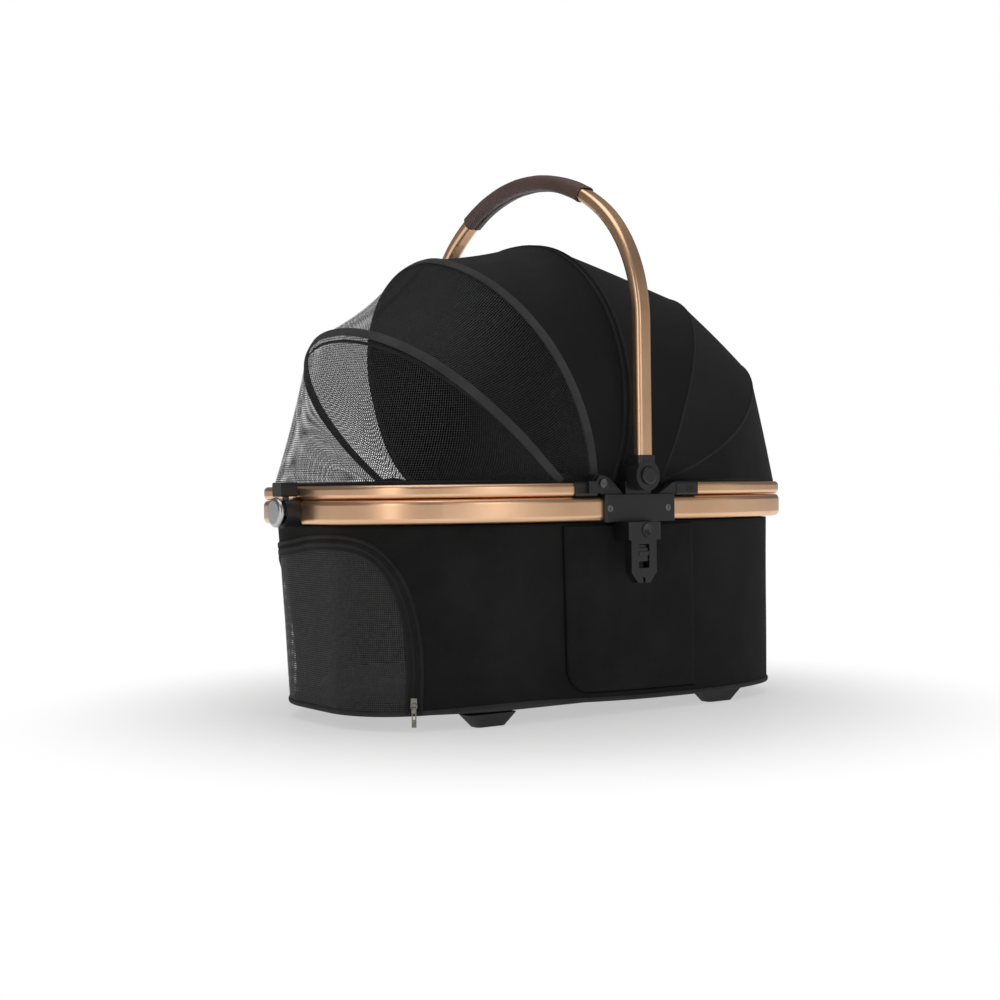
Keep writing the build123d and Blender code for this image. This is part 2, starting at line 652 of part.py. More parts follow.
def canopy_parts():
    """Fabric layers and the flat bows, all cut from nested domes."""
    rear_skin = dome(REAR_LAYER) - dome(REAR_LAYER + FABRIC_T)
    edge_skin = dome(REAR_LAYER) - dome(REAR_LAYER + BOW_T)
    inner_skin = dome(REAR_LAYER + FABRIC_T + 0.05) - dome(REAR_LAYER + FABRIC_T + BOW_T)
    upper_skin = dome(UPPER_LAYER) - dome(UPPER_LAYER + FABRIC_T)
    front_skin = dome(UPPER_LAYER) - dome(UPPER_LAYER + BOW_T)
    lower_skin = dome(LOWER_LAYER) - dome(LOWER_LAYER + FABRIC_T)
    half = BOW_W / 2
    rear_zone = side_prism(
        [lean_line("edge_bow", -half)[0], lean_line("edge_bow", -half)[1], (BIG, BIG), (BIG, 0)],
        -BIG / 2, BIG / 2)
    lower_zone = side_prism(
        [(-BIG, CANOPY_Z), (-BIG, 900), lean_line("front_bow", half)[1],
         lean_line("front_bow", half)[0]], -BIG / 2, BIG / 2)
    above = block(-BIG, BIG, -BIG, BIG, CANOPY_Z, BIG)
    above_pin = block(-BIG, BIG, -BIG, BIG, EAR_Z, BIG)
    clear = rod_y(EAR_X, EAR_Z, 58.0, -BIG / 2, BIG / 2)
    rear_clear = rod_y(EAR_X, EAR_Z, 12.0, -BIG / 2, BIG / 2)
    parts = {
        "canopy_rear": rear_skin & rear_zone & above,
        "canopy_edge_bow": edge_skin & between(("edge_bow", half), ("edge_bow", -half)) & above_pin,
        "mesh_upper": (upper_skin & between(("front_bow", -half), ("edge_bow", half))) - clear,
        "canopy_front_bow": front_skin & between(("front_bow", half), ("front_bow", -half)),
        "mesh_lower": (lower_skin & lower_zone) - clear,
    }
    parts["canopy_front_bow"] -= rod_y(*RIVET, RIVET_R + FIT, -BIG / 2, BIG / 2)
    parts["canopy_rear"] -= rear_clear
    parts["canopy_edge_bow"] -= rear_clear
    for name in ("top_bow", "shoulder_bow", "rear_bow"):
        band = inner_skin & between((name, half - 1), (name, -half + 1)) & above_pin
        parts[f"canopy_{name}"] = band
    return parts


def bow_arm():
    """Link from the hinge pin to the foot of the front bow, left side."""
    inner = HALF_WIDTH - CANOPY_INSET - UPPER_LAYER - BOW_T - ARM_GAP
    arm = side_prism(
        [(EAR_X, EAR_Z - 5), (EAR_X, EAR_Z + 5), (-84, CANOPY_BASE + 10), (-100, CANOPY_BASE + 8),
         (-100, CANOPY_BASE - 2)],
        -inner, -inner + ARM_T)
    arm += rod_y(EAR_X, EAR_Z, 6.0, -inner, -inner + ARM_T)
    arm += rod_y(*RIVET, RIVET_R, -inner - BOW_T - ARM_GAP, -inner)
    return arm - rod_y(EAR_X, EAR_Z, PIN_R + FIT, -BIG, 0)


# ---------------------------------------------------------------- everything, written out
def main():
    os.makedirs("parts", exist_ok=True)
    tubes = frame_tubes()
    save("frame_front_tube", tubes["lower", "front"])
    save("frame_rear_tube", tubes["lower", "rear"])
    save("lid_tube", tubes["upper", "front"])
    save("rear_top_tube", tubes["upper", "rear"])

    for node, shape in (
        ("connector", connector()), ("lid_fitting", lid_fitting()),
        ("rear_fitting", rear_fitting()), ("hub_base", hub_base()),
        ("hub_collar", hub_collar()), ("hub_button", hub_button()),
        ("adapter_bracket", adapter_bracket()), ("adapter_button", adapter_button()),
        ("adapter_catch", adapter_catch()), ("front_bow_arm", bow_arm()),
        ("side_pocket", pocket()),
    ):
        save(f"{node}_left", shape)
        save(f"{node}_right", other_side(shape))

    for node, shape in (
        ("lid_hinge_pins", hinge_pin()), ("handle_pivot_pins", hub_pin()),
        ("connector_screws", screw(SCREW_X[0], SCREW_Z, CONNECTOR_Y, 19)
            + screw(SCREW_X[1], SCREW_Z, CONNECTOR_Y, 19)),
        ("hub_springs", spring_y(0, HUB_Z, 5.6, 0.9, 4, -218.0, -211.6)),
        ("adapter_springs", spring_y(*ADAPTER_BUTTON, 3.5, 0.7, 4, -212.0, -205.4)),
    ):
        save(node, shape + other_side(shape))

    hollow = handle_sweep(
        HANDLE_W - 2 * HANDLE_WALL, HANDLE_T - 2 * HANDLE_WALL, HANDLE_ROUND - HANDLE_WALL)
    save("handle_tube", handle_solid() - hollow)
    save("handle_grip", grip())

    save("latch_housing", latch_housing())
    save("latch_knob", latch_knob())
    save("latch_tongue", latch_tongue())

    fabric, door, tape = basket_parts()
    save("basket_fabric", fabric)
    save("mesh_door", door)
    save("door_zip_tape", tape)
    save("base_piping", piping())
    save("base_board", basket_solid(BODY_WALL + 1.0, BASE_Z + 2.6, BOARD_Z + 4.0))
    save("cushion", cushion())
    slider, pull = zip_pieces()
    save("zip_slider", slider)
    save("zip_pull", pull)
    feet = {"front": FOOT_X[0], "rear": FOOT_X[1]}
    for end, x in feet.items():
        save(f"foot_{end}_left", foot(x, -FOOT_Y))
        save(f"foot_{end}_right", foot(x, FOOT_Y))

    for node, shape in canopy_parts().items():
        save(node, shape)


main()
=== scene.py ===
from math import atan2, cos, pi, radians, sin

import bmesh
import bpy
import numpy as np
from mathutils import Matrix, Vector, noise


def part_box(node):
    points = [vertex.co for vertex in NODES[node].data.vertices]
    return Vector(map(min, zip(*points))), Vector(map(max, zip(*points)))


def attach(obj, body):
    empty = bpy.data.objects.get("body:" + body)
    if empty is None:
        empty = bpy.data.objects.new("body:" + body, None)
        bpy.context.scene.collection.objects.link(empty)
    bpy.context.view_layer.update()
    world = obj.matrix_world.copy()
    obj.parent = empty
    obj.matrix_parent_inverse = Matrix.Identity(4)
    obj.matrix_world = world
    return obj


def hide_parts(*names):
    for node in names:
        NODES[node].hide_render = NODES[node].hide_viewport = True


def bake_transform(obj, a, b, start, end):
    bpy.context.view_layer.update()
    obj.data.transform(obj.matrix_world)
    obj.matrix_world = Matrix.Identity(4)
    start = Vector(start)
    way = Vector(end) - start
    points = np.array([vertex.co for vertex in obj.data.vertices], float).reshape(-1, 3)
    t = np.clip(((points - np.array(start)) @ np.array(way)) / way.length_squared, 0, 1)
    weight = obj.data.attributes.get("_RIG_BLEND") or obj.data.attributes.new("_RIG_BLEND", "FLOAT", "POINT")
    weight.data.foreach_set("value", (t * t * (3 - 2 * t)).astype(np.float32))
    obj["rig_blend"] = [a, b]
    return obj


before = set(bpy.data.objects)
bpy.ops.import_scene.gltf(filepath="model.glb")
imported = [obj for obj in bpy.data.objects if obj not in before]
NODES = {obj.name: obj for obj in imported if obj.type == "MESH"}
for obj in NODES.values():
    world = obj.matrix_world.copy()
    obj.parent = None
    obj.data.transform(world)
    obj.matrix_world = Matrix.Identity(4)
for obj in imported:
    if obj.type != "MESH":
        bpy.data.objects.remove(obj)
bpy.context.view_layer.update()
MM = 0.001


# ---------------------------------------------------------------- places taken from the frame
def low(node, axis):
    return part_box(node)[0][axis]


def high(node, axis):
    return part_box(node)[1][axis]


MID_X = (low("handle_tube", 0) + high("handle_tube", 0)) / 2      # plane of the carry handle
HALF_LENGTH = high("frame_rear_tube", 0) - MID_X
HALF_WIDTH = high("frame_rear_tube", 1)
CORNER_X, CORNER_Y, END_R = 223 * MM, 155 * MM, 137 * MM          # rounded corners of the frame
RIM_Z = high("lid_tube", 2)
WALL_Z0, WALL_Z1 = low("basket_fabric", 2), high("basket_fabric", 2)
TOP_INSET = HALF_WIDTH - high("basket_fabric", 1)
BASE_HALF_LENGTH, BASE_HALF_WIDTH = 297.5 * MM, 154.5 * MM
BASE_X = 9 * MM
BASE_CORNER = 0.78
BASE_RISE, RISE_X, RISE_W = 6.0 * MM, -130 * MM, 120 * MM        # the hem is drawn up between the feet
EAR = Vector((MID_X - 48 * MM, 0, 256 * MM))                      # hinge line of the opening front


# ---------------------------------------------------------------- mesh helpers
def link(obj):
    bpy.context.scene.collection.objects.link(obj)
    return obj


def mesh_object(name, verts, faces, loop_uvs=None, material=None):
    """Smooth mesh with an optional 'cloth' UV map in metres, one pair per face corner."""
    mesh = bpy.data.meshes.new(name)
    mesh.from_pydata([tuple(v) for v in verts], [], faces)
    if loop_uvs is not None:
        layer = mesh.uv_layers.new(name="cloth")
        layer.data.foreach_set("uv", np.asarray(loop_uvs, dtype=float).ravel())
    mesh.polygons.foreach_set("use_smooth", [True] * len(mesh.polygons))
    if material:
        mesh.materials.append(material)
    mesh.update()
    return link(bpy.data.objects.new(name, mesh))


def grid(name, points, uvs, material, closed=False):
    """Sheet from rows of points. A closed one joins the last column to the first; uvs has one more column."""
    points, uvs = np.asarray(points), np.asarray(uvs)
    rows, cols = points.shape[:2]
    faces, loops = [], []
    for i in range(rows - 1):
        for j in range(cols if closed else cols - 1):
            k = (j + 1) % cols
            faces.append((i * cols + j, i * cols + k, (i + 1) * cols + k, (i + 1) * cols + j))
            loops += [uvs[i][j], uvs[i][j + 1], uvs[i + 1][j + 1], uvs[i + 1][j]]
    return mesh_object(name, points.reshape(-1, 3), faces, loops, material)


def lengths(points):
    """Running length along a row of points."""
    steps = np.linalg.norm(np.diff(points, axis=0), axis=1)
    return np.concatenate([[0.0], np.cumsum(steps)])


def even(points, count):
    """The same line with evenly spaced points."""
    points = np.asarray(points, dtype=float)
    run = lengths(points)
    at = np.linspace(0, run[-1], count)
    return np.stack([np.interp(at, run, points[:, k]) for k in range(points.shape[1])], axis=1)


def unit(vectors):
    return vectors / np.maximum(np.linalg.norm(vectors, axis=-1, keepdims=True), 1e-9)


def ribbon(name, centre, normals, profile, material, closed=False):
    """Band swept along a line. profile lists (sideways, outward) offsets in metres."""
    centre, normals = np.asarray(centre), unit(np.asarray(normals))
    if closed:
        ahead, behind = np.roll(centre, -1, axis=0), np.roll(centre, 1, axis=0)
        tangent = unit(ahead - behind)
    else:
        tangent = unit(np.gradient(centre, axis=0))
    side = unit(np.cross(normals, tangent))
    out = unit(np.cross(tangent, side))
    rows = [centre + side * across + out * height for across, height in profile]
    points = np.stack(rows)
    run = lengths(centre)
    if closed:
        run = np.append(run, run[-1] + np.linalg.norm(centre[0] - centre[-1]))
    drop = lengths(np.array(profile))
    uvs = [[(a, d) for a in run] for d in drop]
    return grid(name, points, uvs, material, closed)


def round_section(width, height, count=14):
    """Closed oval section as (sideways, outward) offsets."""
    turns = [2 * pi * k / count for k in range(count + 1)]
    return [(width / 2 * cos(a), height / 2 * sin(a)) for a in turns]


def thicken(obj, amount, offset=-1.0):
    solid = obj.modifiers.new("thickness", "SOLIDIFY")
    solid.thickness = amount
    solid.offset = offset
    solid.use_even_offset = True
    return obj


def apply_modifiers(obj):
    graph = bpy.context.evaluated_depsgraph_get()
    mesh = bpy.data.meshes.new_from_object(obj.evaluated_get(graph))
    obj.modifiers.clear()
    obj.data = mesh
    return obj


def split_mesh(obj, name, field, keep_above):
    """New object with the part of obj where field is above (or below) zero, cut clean along zero."""
    work = bmesh.new()
    work.from_mesh(obj.data)
    value = work.verts.layers.float.new("field")
    for vert, number in zip(work.verts, field):
        vert[value] = number
    crossing = [e for e in work.edges if e.verts[0][value] * e.verts[1][value] < 0]
    made = []
    for edge in crossing:
        first, second = edge.verts
        share = first[value] / (first[value] - second[value])
        new_vert = bmesh.utils.edge_split(edge, first, min(max(share, 0.02), 0.98))[1]
        new_vert[value] = 0.0
        made.append(new_vert)
    bmesh.ops.connect_verts(work, verts=made)
    gone = []
    for face in work.faces:
        level = sum(v[value] for v in face.verts)
        if (level > 0) != keep_above:
            gone.append(face)
    bmesh.ops.delete(work, geom=gone, context="FACES")
    work.verts.layers.float.remove(value)
    mesh = bpy.data.meshes.new(name)
    work.to_mesh(mesh)
    work.free()
    mesh.polygons.foreach_set("use_smooth", [True] * len(mesh.polygons))
    for material in obj.data.materials:
        mesh.materials.append(material)
    return link(bpy.data.objects.new(name, mesh))


# ---------------------------------------------------------------- materials
class Shader:
    """Small wrapper that builds a node material around one principled shader."""

    def __init__(self, name, rough, metallic=0.0):
        self.material = bpy.data.materials.new(name)
        self.material.use_nodes = True
        self.nodes = self.material.node_tree.nodes
        self.links = self.material.node_tree.links
        self.bsdf = self.nodes["Principled BSDF"]
        self.bsdf.inputs["Metallic"].default_value = metallic
        self.bsdf.inputs["Roughness"].default_value = rough

    def node(self, kind, **values):
        made = self.nodes.new(kind)
        for key, value in values.items():
            if hasattr(made, key):
                setattr(made, key, value)
            else:
                made.inputs[key.replace("_", " ")].default_value = value
        return made

    def wire(self, source, target):
        self.links.new(source, target)

    def place(self, cloth=False):
        """Coordinates: the piece's own, or its flat cloth pattern, in metres."""
        if cloth:
            return self.node("ShaderNodeUVMap", uv_map="cloth").outputs["UV"]
        return self.node("ShaderNodeTexCoord").outputs["Object"]

    def math(self, operation, first, second=None):
        made = self.node("ShaderNodeMath", operation=operation)
        for socket, value in zip(made.inputs, (first, second)):
            if value is None:
                continue
            if isinstance(value, (int, float)):
                socket.default_value = value
            else:
                self.wire(value, socket)
        return made.outputs[0]

    def noise(self, scale, detail=3.0, rough=0.6, place=None):
        made = self.node("ShaderNodeTexNoise", Scale=scale, Detail=detail, Roughness=rough)
        self.wire(place or self.place(), made.inputs["Vector"])
        return made.outputs["Fac"]

    def blend_colours(self, factor, dark, light, low=0.3, high=0.7):
        ramp = self.node("ShaderNodeValToRGB")
        ramp.color_ramp.elements[0].position = low
        ramp.color_ramp.elements[1].position = high
        ramp.color_ramp.elements[0].color = (*dark, 1)
        ramp.color_ramp.elements[1].color = (*light, 1)
        self.wire(factor, ramp.inputs["Fac"])
        return ramp.outputs["Color"]

    def spread(self, factor, low, high):
        made = self.node("ShaderNodeMapRange")
        made.inputs["To Min"].default_value = low
        made.inputs["To Max"].default_value = high
        self.wire(factor, made.inputs["Value"])
        return made.outputs["Result"]

    def bump(self, height, strength, distance, under=None):
        made = self.node("ShaderNodeBump", Strength=strength, Distance=distance)
        self.wire(height, made.inputs["Height"])
        if under:
            self.wire(under, made.inputs["Normal"])
        return made.outputs["Normal"]

    def threads(self, coordinate, pitch, share):
        """1 on a thread, 0 in the gap between two, along one coordinate."""
        phase = self.math("FRACT", self.math("DIVIDE", coordinate, pitch))
        away = self.math("MULTIPLY", self.math("ABSOLUTE", self.math("SUBTRACT", phase, 0.5)), 2.0)
        ramp = self.node("ShaderNodeMapRange", interpolation_type="SMOOTHSTEP")
        ramp.inputs["From Min"].default_value = 1 - share - 0.12
        ramp.inputs["From Max"].default_value = 1 - share + 0.12
        self.wire(away, ramp.inputs["Value"])
        return ramp.outputs["Result"]

    def finish(self, colour=None, rough=None, normal=None, alpha=None):
        for socket, value in (("Base Color", colour), ("Roughness", rough), ("Normal", normal),
                              ("Alpha", alpha)):
            if value is not None:
                self.wire(value, self.bsdf.inputs[socket])
        return self.material


def gold_material():
    """Satin rose-gold metal: fine sparkle, faint draw lines and handling marks."""
    s = Shader("rose_gold", 0.3, 1.0)
    cloudy = s.noise(9, 4)
    grain = s.noise(1600, 2)
    colour = s.blend_colours(cloudy, (0.74, 0.45, 0.27), (0.84, 0.54, 0.34))
    rough = s.spread(s.noise(60, 5), 0.27, 0.4)
    return s.finish(colour, rough, s.bump(grain, 0.12, 0.0002))


def plastic_material(name, dark, light, rough, grain=1100, strength=0.35):
    """Moulded nylon with fine spark-eroded grain and slightly polished edges."""
    s = Shader(name, rough)
    cloudy = s.noise(40, 4)
    colour = s.blend_colours(cloudy, dark, light)
    edge = s.node("ShaderNodeBevel", samples=4, Radius=0.0007)
    normal = s.bump(s.noise(grain, 2), strength, 0.00012, edge.outputs["Normal"])
    return s.finish(colour, s.spread(s.noise(120, 4), rough - 0.07, rough + 0.1), normal)


def metal_material(name, dark, light, rough):
    """Machined steel with turning marks."""
    s = Shader(name, rough, 1.0)
    colour = s.blend_colours(s.noise(220, 4), dark, light)
    return s.finish(colour, s.spread(s.noise(500, 3), rough - 0.08, rough + 0.12),
                    s.bump(s.noise(1800, 2), 0.15, 0.0001))


def weave_material(name, dark, light, pitch, rough=0.85, sheen=0.35, strength=0.5, cloudy=6.0):
    """Plain weave: crossing threads as relief, with uneven dye and a soft nap."""
    s = Shader(name, rough)
    s.bsdf.inputs["Sheen Weight"].default_value = sheen
    s.bsdf.inputs["Sheen Roughness"].default_value = 0.45
    s.bsdf.inputs["Sheen Tint"].default_value = (0.75, 0.75, 0.8, 1)
    s.bsdf.inputs["Specular IOR Level"].default_value = 0.18
    parts = s.node("ShaderNodeSeparateXYZ")
    s.wire(s.place(cloth=True), parts.inputs[0])
    across = s.math("SINE", s.math("MULTIPLY", parts.outputs["X"], 2 * pi / pitch))
    along = s.math("SINE", s.math("MULTIPLY", parts.outputs["Y"], 2 * pi / pitch))
    weave = s.math("MULTIPLY", across, along)
    nap = s.noise(900, 3)
    height = s.math("ADD", s.math("MULTIPLY", weave, 0.5), nap)
    mottled = s.math("ADD", s.math("MULTIPLY", s.noise(cloudy, 5), 0.7), s.math("MULTIPLY", nap, 0.3))
    colour = s.blend_colours(mottled, dark, light)
    soft = s.bump(s.noise(14, 3), 0.12, 0.003)
    return s.finish(colour, s.spread(s.noise(30, 4), rough - 0.08, min(rough + 0.1, 1.0)),
                    s.bump(height, strength, pitch * 0.35, soft))


def net_material(name, pitch, share, dark, light, cross_share=None):
    """Open knitted net: round threads with holes between them."""
    s = Shader(name, 0.6)
    s.bsdf.inputs["Sheen Weight"].default_value = 0.03
    s.bsdf.inputs["Specular IOR Level"].default_value = 0.5
    parts = s.node("ShaderNodeSeparateXYZ")
    s.wire(s.place(cloth=True), parts.inputs[0])
    warp = s.threads(parts.outputs["X"], pitch, share)
    weft = s.threads(parts.outputs["Y"], pitch, cross_share or share)
    thread = s.math("MAXIMUM", warp, weft)
    colour = s.blend_colours(s.noise(260, 3), dark, light)
    return s.finish(colour, s.spread(s.noise(400, 2), 0.5, 0.75),
                    s.bump(thread, 0.6, pitch * 0.2), thread)


def leather_material():
    """Dark brown leather embossed with slanting scales."""
    s = Shader("embossed_leather", 0.42)
    s.bsdf.inputs["Specular IOR Level"].default_value = 0.55
    parts = s.node("ShaderNodeSeparateXYZ")
    s.wire(s.place(cloth=True), parts.inputs[0])
    pitch = 3.6 * MM
    left = s.math("ADD", parts.outputs["X"], parts.outputs["Y"])
    right = s.math("SUBTRACT", parts.outputs["X"], s.math("MULTIPLY", parts.outputs["Y"], 0.7))
    first = s.math("ABSOLUTE", s.math("SINE", s.math("MULTIPLY", left, pi / pitch)))
    second = s.math("ABSOLUTE", s.math("SINE", s.math("MULTIPLY", right, pi / pitch)))
    scales = s.math("MINIMUM", first, second)
    wrinkle = s.noise(700, 4)
    height = s.math("ADD", scales, s.math("MULTIPLY", wrinkle, 0.4))
    # colour darker in the grooves between the scales and lighter on their tops, with random patches
    dark_grooves_and_patches = s.math("ADD", s.math("MULTIPLY", scales, 0.6), s.math("MULTIPLY", s.noise(45, 4), 0.5))
    colour = s.blend_colours(dark_grooves_and_patches, (0.045, 0.022, 0.017), (0.16, 0.085, 0.066), 0.2, 0.85)
    return s.finish(colour, s.spread(s.noise(90, 3), 0.34, 0.52), s.bump(height, 0.75, 0.0009))


def rubber_material():
    s = Shader("foot_rubber", 0.75)
    colour = s.blend_colours(s.noise(50, 4), (0.010, 0.010, 0.010), (0.024, 0.024, 0.024))
    return s.finish(colour, s.spread(s.noise(200, 3), 0.65, 0.85), s.bump(s.noise(900, 2), 0.3, 0.0002))


GOLD = gold_material()
PLASTIC = plastic_material("black_nylon", (0.0035, 0.0035, 0.004), (0.007, 0.007, 0.008), 0.36)
SATIN = plastic_material("satin_black", (0.006, 0.006, 0.0065), (0.012, 0.012, 0.013), 0.33, 1500, 0.2)
KNOB = metal_material("satin_nickel", (0.42, 0.42, 0.42), (0.56, 0.56, 0.56), 0.30)
STEEL = metal_material("bright_zinc", (0.50, 0.50, 0.52), (0.80, 0.80, 0.82), 0.22)
SCREW = metal_material("black_nickel", (0.10, 0.10, 0.105), (0.24, 0.24, 0.245), 0.18)
ZIP_METAL = metal_material("zip_nickel", (0.16, 0.145, 0.13), (0.34, 0.32, 0.29), 0.3)
CANOPY = weave_material("canopy_twill", (0.0042, 0.0040, 0.0044), (0.0100, 0.0096, 0.0102),
                        0.9 * MM, 0.70, 0.035, 0.4)
SUEDE = weave_material("basket_suede", (0.0045, 0.0044, 0.0044), (0.0150, 0.0146, 0.0146),
                       0.7 * MM, 0.90, 0.03, 0.6, 11.0)
BINDING = weave_material("grey_binding", (0.030, 0.030, 0.031), (0.060, 0.060, 0.062),
                         1.1 * MM, 0.8, 0.06, 0.9, 25.0)
PIPING = weave_material("piping_tape", (0.022, 0.022, 0.023), (0.046, 0.046, 0.048),
                        1.0 * MM, 0.8, 0.05, 0.9, 25.0)
ZIP_TAPE = weave_material("zip_tape", (0.009, 0.009, 0.0095), (0.022, 0.022, 0.023),
                          0.9 * MM, 0.72, 0.05, 0.8, 25.0)
CANOPY_NET = net_material("canopy_net", 2.6 * MM, 0.24, (0.004, 0.004, 0.0042), (0.020, 0.020, 0.021), 0.13)
DOOR_NET = net_material("door_net", 2.3 * MM, 0.44, (0.005, 0.005, 0.005), (0.026, 0.025, 0.024), 0.44)
# near black, painted shade: the thin strip that stands for the shadow in the groove at the pocket's edge
SEAM_SHADE = weave_material("painted_groove_shade", (0.0008, 0.0008, 0.0008), (0.002, 0.002, 0.002),
                            0.8 * MM, 0.95, 0.0, 0.4)
LEATHER = leather_material()
RUBBER = rubber_material()

NODE_MATERIALS = {
    "_tube": GOLD, "connector_screws": SCREW, "lid_hinge_pins": SCREW, "pins": STEEL, "springs": STEEL,
    "latch_knob": KNOB, "latch_tongue": SATIN, "hub_collar": SATIN, "hub_button": SATIN,
    "adapter_button": SATIN, "adapter_catch": SATIN, "bow_arm": SATIN, "zip_slider": ZIP_METAL,
    "zip_pull": ZIP_METAL, "foot": RUBBER,
}


def paint_cad_nodes():
    """Gives every CAD node that stays visible its finish."""
    for name, node in NODES.items():
        chosen = next((m for key, m in NODE_MATERIALS.items() if key in name), PLASTIC)
        node.data.materials.clear()
        node.data.materials.append(chosen)


# ---------------------------------------------------------------- outlines
BREAKS = (0.09, 0.43, 0.75)      # where the end's flat, its two arcs and the straight side meet


class Oval:
    """Frame-like outline: flat ends, corners of two tangent arcs and straight sides."""

    def __init__(self, inset=0.0, length=HALF_LENGTH, width=HALF_WIDTH, corner=1.0, middle=0.0):
        self.length, self.width = length - inset, width - inset
        corner_x, corner_y = CORNER_X * corner - inset, CORNER_Y * corner - inset
        self.end_r = END_R * corner - inset
        self.side_r = (corner_x**2 + corner_y**2 - 2 * corner_x * self.end_r) / (2 * (corner_y - self.end_r))
        self.small = (self.length - self.end_r, self.width - corner_y)
        self.large = (self.length - corner_x, self.width - self.side_r)
        self.turn = atan2(self.small[1] - self.large[1], self.small[0] - self.large[0])
        self.middle = MID_X + middle

    def quarter(self, s):
        """Offset from the middle, from an end's middle (0) to a side's middle (1)."""
        first, second, third = BREAKS
        if s < first:
            return self.length, self.small[1] * s / first
        if s < second:
            angle = self.turn * (s - first) / (second - first)
            return self.small[0] + self.end_r * cos(angle), self.small[1] + self.end_r * sin(angle)
        if s < third:
            angle = self.turn + (pi / 2 - self.turn) * (s - second) / (third - second)
            return self.large[0] + self.side_r * cos(angle), self.large[1] + self.side_r * sin(angle)
        return self.large[0] * (1 - (s - third) / (1 - third)), self.width

    def at(self, t):
        """Point at t turns from the front's middle; the near (left) side is at +1/4, the rear at 1/2."""
        side = -1 if t >= 0 else 1
        t = abs(t)
        x, y = self.quarter(4 * t) if t <= 0.25 else self.quarter(2 - 4 * t)
        return self.middle + (-x if t <= 0.25 else x), side * y


class Wall:
    """The basket's side, unrolled: a runs along it from the front's middle, near side positive."""

    def __init__(self):
        base = Oval(0.0, BASE_HALF_LENGTH, BASE_HALF_WIDTH, BASE_CORNER, BASE_X)
        top = Oval(TOP_INSET)
        self.turns = np.linspace(-0.5, 0.5, 1441)
        self.base = np.array([base.at(t) for t in self.turns])
        self.top = np.array([top.at(t) for t in self.turns])
        self.cache = {}

    def level(self, z):
        """Outline, running length and outward normals at a height."""
        key = round(float(z), 4)
        if key not in self.cache:
            share = (key - WALL_Z0) / (WALL_Z1 - WALL_Z0)
            line = self.base * (1 - share) + self.top * share
            run = lengths(line)
            run -= run[len(run) // 2]
            tangent = unit(np.gradient(line, axis=0))
            normal = np.stack([tangent[:, 1], -tangent[:, 0]], axis=1)
            lean = (np.sum((self.top - self.base) * normal, axis=1)) / (WALL_Z1 - WALL_Z0)
            self.cache[key] = (line, run, unit(np.column_stack([normal, -lean])))
        return self.cache[key]

    def point(self, a, z, out=0.0):
        line, run, normal = self.level(z)
        where = np.array([np.interp(a, run, line[:, 0]), np.interp(a, run, line[:, 1]), z])
        share = min(max((z - WALL_Z0) / (WALL_Z1 - WALL_Z0), 0.0), 1.0)
        rise = BASE_RISE * np.exp(-(((where[0] - MID_X - RISE_X) / RISE_W) ** 2))
        where[2] += rise * (1 - share) ** 4
        direction = unit(np.array([np.interp(a, run, normal[:, k]) for k in range(3)]))
        return where + direction * out, direction

    def follow(self, path, out=0.0):
        """Points and normals on the wall for a line of (a, z)."""
        both = [self.point(a, z, out) for a, z in path]
        return np.array([p for p, _ in both]), np.array([n for _, n in both])

    def along(self, x, z):
        """Distance a on the near side where the wall reaches x (from the handle's plane)."""
        line, run, _ = self.level(z)
        half = len(run) // 2
        return float(np.interp(MID_X + x, line[half:, 0], run[half:]))


WALL = Wall()


# ---------------------------------------------------------------- basket
DOOR_X, DOOR_Z = -300 * MM, 45 * MM          # centre of the arched seam, seen from the side
DOOR_W, DOOR_H = 68 * MM, 161 * MM
DOOR_FOOT = WALL_Z0 + 7 * MM
BAND_W = 17 * MM
DIP, DIP_A, DIP_W = 9 * MM, -70 * MM, 75 * MM        # the seam hangs lower beyond the middle of the end


def door_seam():
    """Outer seam of the front door as a line of (a, z), from the near foot to the far one."""
    near = [(WALL.along(DOOR_X + DOOR_W, z), z) for z in np.linspace(DOOR_FOOT - 6 * MM, DOOR_Z, 6)]
    for angle in np.linspace(0, pi / 2, 60)[1:]:
        x = DOOR_X + DOOR_W * cos(angle)
        z = DOOR_Z + DOOR_H * sin(angle)
        if x < -HALF_LENGTH + TOP_INSET + 1.2 * MM:
            break
        near.append((WALL.along(x, z), z))
    near.append((0.0, near[-1][1] + 1.5 * MM))
    near = smooth_line(even(near, 130), 6)
    far = [(-a, z) for a, z in near[-2::-1]]
    whole = np.array(list(near) + far)
    whole[:, 1] -= DIP * np.exp(-(((whole[:, 0] - DIP_A) / DIP_W) ** 2))
    return whole


def smooth_line(points, rounds):
    points = np.array(points)
    for _ in range(rounds):
        points[1:-1] = (points[:-2] + 2 * points[1:-1] + points[2:]) / 4
    return points


def shift_line(path, inward):
    """The same flat line moved towards the inside of the door."""
    tangent = unit(np.gradient(path, axis=0))
    inside = np.stack([-tangent[:, 1], tangent[:, 0]], axis=1)
    return path + inside * inward


def double_net(net):
    """Second layer a thread's width behind the first, so that the net closes up when seen aslant."""
    layer = thicken(net, 0.9 * MM)
    layer.modifiers["thickness"].use_rim = False


def signed_distance(points, path):
    """Distance to an open flat line, positive outside the door."""
    best = np.full(len(points), 1e9)
    sign = np.ones(len(points))
    for start, end in zip(path[:-1], path[1:]):
        step = end - start
        share = np.clip(((points - start) @ step) / (step @ step), 0, 1)
        gap = points - (start + share[:, None] * step)
        far = np.linalg.norm(gap, axis=1)
        cross = step[0] * gap[:, 1] - step[1] * gap[:, 0]
        closer = far < best
        best = np.where(closer, far, best)
        sign = np.where(closer, np.where(cross > 0, -1.0, 1.0), sign)
    return best * sign


def soft_wall(a, z):
    """How far the padded cloth stands off its cut shape: slow waves, fuller low down."""
    share = (z - WALL_Z0) / (WALL_Z1 - WALL_Z0)
    slow = noise.noise(Vector((a * 9, z * 7, 3.1)))
    fine = noise.noise(Vector((a * 30, z * 12, 8.7)))
    return sin(pi * min(max(share, 0), 1)) * (1.3 * MM * slow + 0.35 * MM * fine)


